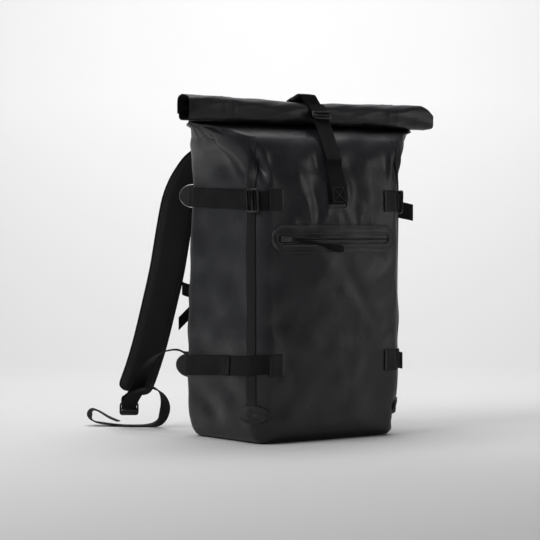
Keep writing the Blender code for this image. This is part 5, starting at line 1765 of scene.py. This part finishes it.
class BuildSideTabs(bpy.types.Operator):
    """Builds the half-round tabs at the back corners"""

    bl_idname = "backpack.side_tabs"
    bl_label = "Side tabs"

    def execute(self, context):
        for side, name in SIDES:
            for level, (base, fall) in LEVELS.items():
                tab, wire = side_tab_shapes(side, base + fall / 2)
                node = f"side_tab_{level}_{name}"
                piece(f"corner_tab_{level}_{name}", tab, strap_cloth, [node])
                rim = bright_wire if level == "upper" else moulding
                piece(f"corner_tab_rim_{level}_{name}", wire, rim)
        return {"FINISHED"}


# Shoulder straps

def strap_rows(steps):
    """Left strap: middle points, width direction turns, widths and thicknesses."""
    half, _, _, _, corner, _ = section_at(STRAP_ANCHOR_Z)
    up, width, thickness = STRAP_SEWN_ROWS.T
    w = STRAP_ANCHOR_X / (half - corner) - 5
    sewn = lifted(w, STRAP_ANCHOR_Z + up * STRAP_SEWN, GAP + thickness * STRAP_THICKNESS / 2)
    start = sewn[-1]
    span = np.array([-STRAP_SPREAD, STRAP_REACH, STRAP_ANCHOR_Z - STRAP_END_Z])
    free = np.array([start[0], start[1], STRAP_END_Z]) + STRAP_ROUTE[:, :3] * span
    rows = np.concatenate([
        np.column_stack([sewn, 0 * up, width, thickness]),
        np.column_stack([free, STRAP_ROUTE[:, 3:]]),
    ])
    return smooth(rows, steps)


def pad_edge(count):
    """Half section of a sewn pad: thickness across its width, with a channel inside each edge."""
    across = np.cos(np.linspace(0, pi, count))
    thick = (1 - np.abs(across) ** 5) ** 0.6
    return across, thick * (1 - 0.30 * bell(np.abs(across) - PAD_SEAM, PAD_CHANNEL))


def shoulder_shapes(side):
    """A padded strap, its piped edges and its stitching. Slow sines along it quilt its thickness."""
    piping = bpy.context.scene.backpack_padding.piping
    rows = even(strap_rows(10), BAND_CELL)
    path = mirrored(rows[:, :3], side)
    turn = mirrored(turned(-rows[:, 3]), side)
    across, thick = pad_edge(27)
    half_width, half_thick = rows[:, 4] * STRAP_WIDTH / 2, rows[:, 5] * STRAP_THICKNESS / 2
    length = distance_along(path)
    quilt = 1 + sum(share * np.sin(length * waves + phase) for share, waves, phase in QUILT)
    upper = thick[None, :] * quilt[:, None]
    ring_x = np.concatenate([across, -across[1:-1]])
    ring_z = np.concatenate([upper, -upper[:, 1:-1]], axis=1)
    inner = half_width - piping * 0.8
    edge = np.stack([ring_x[None] * inner[:, None], ring_z * half_thick[:, None]], axis=-1)
    pad = carried(path, turn, edge)
    _, flat, out = frames(path, turn)
    level = np.interp(PAD_SEAM, -across, thick) * half_thick * quilt
    pipe = oval(2 * piping, 2 * piping, 10)
    pipes, lines = [], []
    for sign in (-1, 1):
        rim = path + flat * (sign * (half_width - piping))[:, None]
        pipes.append(carried(rim, flat, pipe))
        for face in (-1, 1):
            line = path + flat * (sign * PAD_SEAM * inner)[:, None] + out * (face * level)[:, None]
            lines.append(stitches(line[6:-3], (out * face)[6:-3]))
    hem = path[-1] + np.linspace(-1, 1, 12)[:, None] * (half_width[-1] - piping) * flat[-1]
    pipes.append(carried(hem, out[-1], pipe))
    return pad, together(pipes), together(lines)


def lock_place():
    """The left ladder lock's middle below the strap's lower end, its width direction, the side its
    webbing lies on, and its upward direction."""
    start = strap_rows(2)[-1, :3]
    across = turned(-VIEW_TURN)
    out = unit(np.cross(across, UPRIGHT) + np.array([0.0, 0.0, LOCK_LEAN]))
    middle = np.array([start[0] - LOCK_OUT, start[1] + LOCK_BACK, LOCK_Z])
    return middle, across, out, np.cross(out, across)


def end_webbing(rows, side):
    """End webbing through rows of a point and its width's direction, put on the given side."""
    rows = even(rows, bpy.context.scene.backpack_webbing.cell)
    edge = outline(END_WEBBING_WIDTH, WEBBING)
    return carried(mirrored(rows[:, :3], side), mirrored(rows[:, 3:], side), edge)


def lower_webbing_shape(side):
    """Webbing sewn to the bag's lower back, rising and falling to the ladder lock."""
    sewn = lifted(np.array(LOWER_SEWN_W), LOWER_ANCHOR_Z, 2 * GAP + WEBBING / 2)
    middle, across, out, up = lock_place()
    end = middle + out * (PLASTIC / 2 + 2 * GAP + WEBBING / 2) + up * LOCK_HALFWAY
    lead = end + up * LOCK_LEAD + out * WEBBING
    path = mix(sewn[-1], end, LOWER_ROUTE[:, :1])
    path[:, 0] -= LOWER_ROUTE[:, 2] * STRAP_SPREAD
    path[:, 2] = mix(LOCK_Z, LOWER_ANCHOR_Z, LOWER_ROUTE[:, 1])
    path = np.concatenate([[sewn[-1]], path, [lead, end]])
    across = np.concatenate([[UPRIGHT], turned(LOWER_ROUTE[:, 3]), [across] * 2])
    flat = np.column_stack([sewn[:-1], [UPRIGHT] * 2])
    return end_webbing(np.concatenate([flat, smooth(np.column_stack([path, across]), 10)]), side)


def tail_shape(side):
    """The free end: up out of the lock, over and down to the floor, and its folded tip."""
    right, deep = view_directions()
    middle, _, out, up = lock_place()
    rise = WEBBING / 2 + GAP + CURL_ROUTE[:, 1] * CURL_LENGTH
    start = middle + out * (PLASTIC / 2 + GAP + WEBBING / 2)
    start = start + up * (rise[0] - start[2]) / up[2]
    path = start + CURL_LENGTH * (CURL_ROUTE[:, :1] * right + CURL_ROUTE[:, 2:3] * deep)
    path[:, 2] = rise
    return end_webbing(smooth(np.column_stack([path, turned(CURL_ROUTE[:, 3])]), 10), side)


class BuildShoulderStraps(bpy.types.Operator):
    """Builds the padded shoulder straps with piped edges and stitching"""

    bl_idname = "backpack.shoulder_straps"
    bl_label = "Shoulder straps"

    def execute(self, context):
        for side, name in SIDES:
            pad, pipes, lines = shoulder_shapes(side)
            node = f"shoulder_strap_{name}"
            strap = piece(f"padded_strap_{name}", pad, strap_cloth, [node])
            piece(f"strap_piping_{name}", pipes, woven)
            piece(f"strap_stitches_{name}", lines, thread)
        return {"FINISHED"}


class BuildStrapEnds(bpy.types.Operator):
    """Builds the ladder locks, the webbing from the bag and the free ends on the floor"""

    bl_idname = "backpack.strap_ends"
    bl_label = "Strap ends"

    def execute(self, context):
        for side, name in SIDES:
            place = place_at(*(mirrored(row, side) for row in lock_place()[:3]))
            shape = lock(place, END_LOCK_WIDTH, LOCK_LENGTH, flap=END_FLAP)
            piece(f"end_lock_{name}", shape, moulding, [f"strap_ladder_lock_{name}"])
            band = lower_webbing_shape(side)
            piece(f"lower_band_{name}", band, woven, [f"lower_webbing_{name}"])
            piece(f"free_end_{name}", tail_shape(side), woven, [f"strap_tail_{name}"])
        return {"FINISHED"}


class BuildSternum(bpy.types.Operator):
    """Builds the chest strap, its buckle and its hanging end"""

    bl_idname = "backpack.sternum"
    bl_label = "Chest strap"

    def execute(self, context):
        rows = strap_rows(2)
        rows = rows[rows[:, 1] > rows[0, 1] + STERNUM_FORWARD]
        rows = rows[np.argsort(rows[:, 2])]
        at = np.array([np.interp(STERNUM_Z, rows[:, 2], rows[:, k]) for k in range(3)])
        edge_point = at + [STRAP_WIDTH / 2 + GAP, -STERNUM_FORWARD, 0.0]
        length, height, thickness = STERNUM_BUCKLE
        middle = np.array([0.0, edge_point[1] + STERNUM_BACK, STERNUM_Z - STERNUM_SAG])
        share = np.linspace(0, 1, 26)
        edge = outline(STERNUM_WIDTH, WEBBING)
        for side, name in SIDES:
            path = mix(edge_point, middle - [length / 2 + 2 * GAP, 0.0, 0.0], share[:, None])
            path[:, 2] = STERNUM_Z - STERNUM_SAG * share**STERNUM_SAG_POWER
            band = carried(mirrored(path, side), UPRIGHT, edge, square=False)
            piece(f"chest_band_{name}", band, woven, [f"sternum_strap_{name}"])
        place = (middle, np.array([(0.0, 0.0, -1.0), ACROSS, (0.0, -1.0, 0.0)]))
        body = moulded(place, ROUND_ENDS, (height, length, thickness), 4.0)
        piece("chest_buckle", body, moulding, ["sternum_buckle"])
        start = middle + [-length / 2 - 2 * GAP, WEBBING + GAP, -STERNUM_TAIL_SET]
        path = start + share[:, None] * np.array(STERNUM_TAIL)
        tail = carried(path, UPRIGHT, edge, square=False)
        piece("chest_tail", tail, woven, ["sternum_tail"])
        return {"FINISHED"}


# Stage

def area_light(name, power, size, place, towards):
    """A square soft light at a place, turned towards a point."""
    data = bpy.data.lights.new(name, "AREA")
    data.energy = power
    data.size = size
    light = bpy.data.objects.new(name, data)
    light.location = place
    light.rotation_euler = (Vector(place) - Vector(towards)).to_track_quat("Z", "Y").to_euler()
    bpy.context.scene.collection.objects.link(light)


class BuildStage(bpy.types.Operator):
    """Sets the pale floor and backdrop, the soft lights and the camera"""

    bl_idname = "backpack.stage"
    bl_label = "Stage"

    def execute(self, context):
        stage = context.scene.backpack_stage
        right, deep = view_directions()
        turn = np.linspace(0, pi / 2, 24)
        radius, reach = BACKDROP_RADIUS, BACKDROP_REACH
        far = np.concatenate([[-BACKDROP_SPREAD], reach + radius * np.sin(turn), [reach + radius]])
        up = np.concatenate([[0.0], radius * (1 - np.cos(turn)), [BACKDROP_HEIGHT]])
        across = np.linspace(-BACKDROP_SPREAD, BACKDROP_SPREAD, 3)
        rows = far[:, None, None] * deep + across[None, :, None] * right
        rows[..., 2] += up[:, None]
        mesh = bpy.data.meshes.new("backdrop")
        count, size = rows.shape[:2]
        faces = [
            (i * size + j, i * size + j + 1, (i + 1) * size + j + 1, (i + 1) * size + j)
            for i in range(count - 1)
            for j in range(size - 1)
        ]
        mesh.from_pydata(rows.reshape(-1, 3).tolist(), [], faces)
        mesh.shade_smooth()
        look = Finish("backdrop_paper", 0.9, specular=0.1)
        # painted shade: the floor is darker and the wall paler, by height, in place of light falling
        # off
        dark, light = (shade(stage.colour, tone) for tone in BACKDROP_SHADES)
        look.tint(look.height(0.0, 1.0, BACKDROP_SHADE_Z), dark, light)
        grain = look.noise(scale=300.0)
        mesh.materials.append(look.done(look.bump(grain, distance=0.0001, strength=0.1)))
        floor = bpy.data.objects.new("backdrop", mesh)
        context.scene.collection.objects.link(floor)
        world = bpy.data.worlds.new("room")
        world.use_nodes = True
        background = world.node_tree.nodes["Background"]
        background.inputs["Color"].default_value = (1.0, 1.0, 1.0, 1.0)
        background.inputs["Strength"].default_value = stage.ambient
        context.scene.world = world
        context.scene.view_settings.view_transform = "Standard"
        for name, setting, size, place, towards in LIGHTS:
            area_light(name, getattr(stage, setting), size, place, towards)
        data = bpy.data.cameras.new("camera")
        data.lens, data.sensor_width = LENS, SENSOR
        camera = bpy.data.objects.new("camera", data)
        camera.location = CAMERA
        camera.rotation_euler = (radians(90 - CAMERA_FALL), 0.0, -radians(VIEW_TURN))
        context.scene.collection.objects.link(camera)
        context.scene.camera = camera
        return {"FINISHED"}


class BackpackPanel(bpy.types.Panel):
    """Sidebar panel with the pieces and their settings"""

    bl_idname = "VIEW3D_PT_backpack"
    bl_label = "Rolltop backpack"
    bl_space_type = "VIEW_3D"
    bl_region_type = "UI"
    bl_category = "Backpack"

    def draw(self, context):
        for group, operators in LAYOUT:
            box = self.layout.box()
            settings = getattr(context.scene, group)
            for name in settings.__annotations__:
                box.prop(settings, name)
            for operator in operators:
                box.operator(operator.bl_idname)


GROUPS = {
    "backpack_shell": BackpackShell,
    "backpack_webbing": BackpackWebbing,
    "backpack_padding": BackpackPadding,
    "backpack_hardware": BackpackHardware,
    "backpack_stage": BackpackStage,
}
LAYOUT = (
    ("backpack_stage", (BuildStage,)),
    ("backpack_shell", (BuildShell, BuildSeams)),
    ("backpack_hardware", (BuildZip,)),
    ("backpack_webbing", (BuildClosure, BuildSideStraps, BuildSideTabs)),
    ("backpack_padding", (BuildShoulderStraps, BuildStrapEnds, BuildSternum)),
)
CLASSES = (*GROUPS.values(), *(operator for _, made in LAYOUT for operator in made), BackpackPanel)


def register():
    for cls in CLASSES:
        bpy.utils.register_class(cls)
    for name, group in GROUPS.items():
        setattr(bpy.types.Scene, name, PointerProperty(type=group))


def unregister():
    for name in GROUPS:
        delattr(bpy.types.Scene, name)
    for cls in reversed(CLASSES):
        bpy.utils.unregister_class(cls)


def main():
    register()
    bpy.ops.backpack.stage()
    bpy.ops.backpack.shell()
    bpy.ops.backpack.seams()
    bpy.ops.backpack.zip()
    bpy.ops.backpack.closure()
    bpy.ops.backpack.side_straps()
    bpy.ops.backpack.side_tabs()
    bpy.ops.backpack.shoulder_straps()
    bpy.ops.backpack.strap_ends()
    bpy.ops.backpack.sternum()


if __name__ == "__main__":
    main()
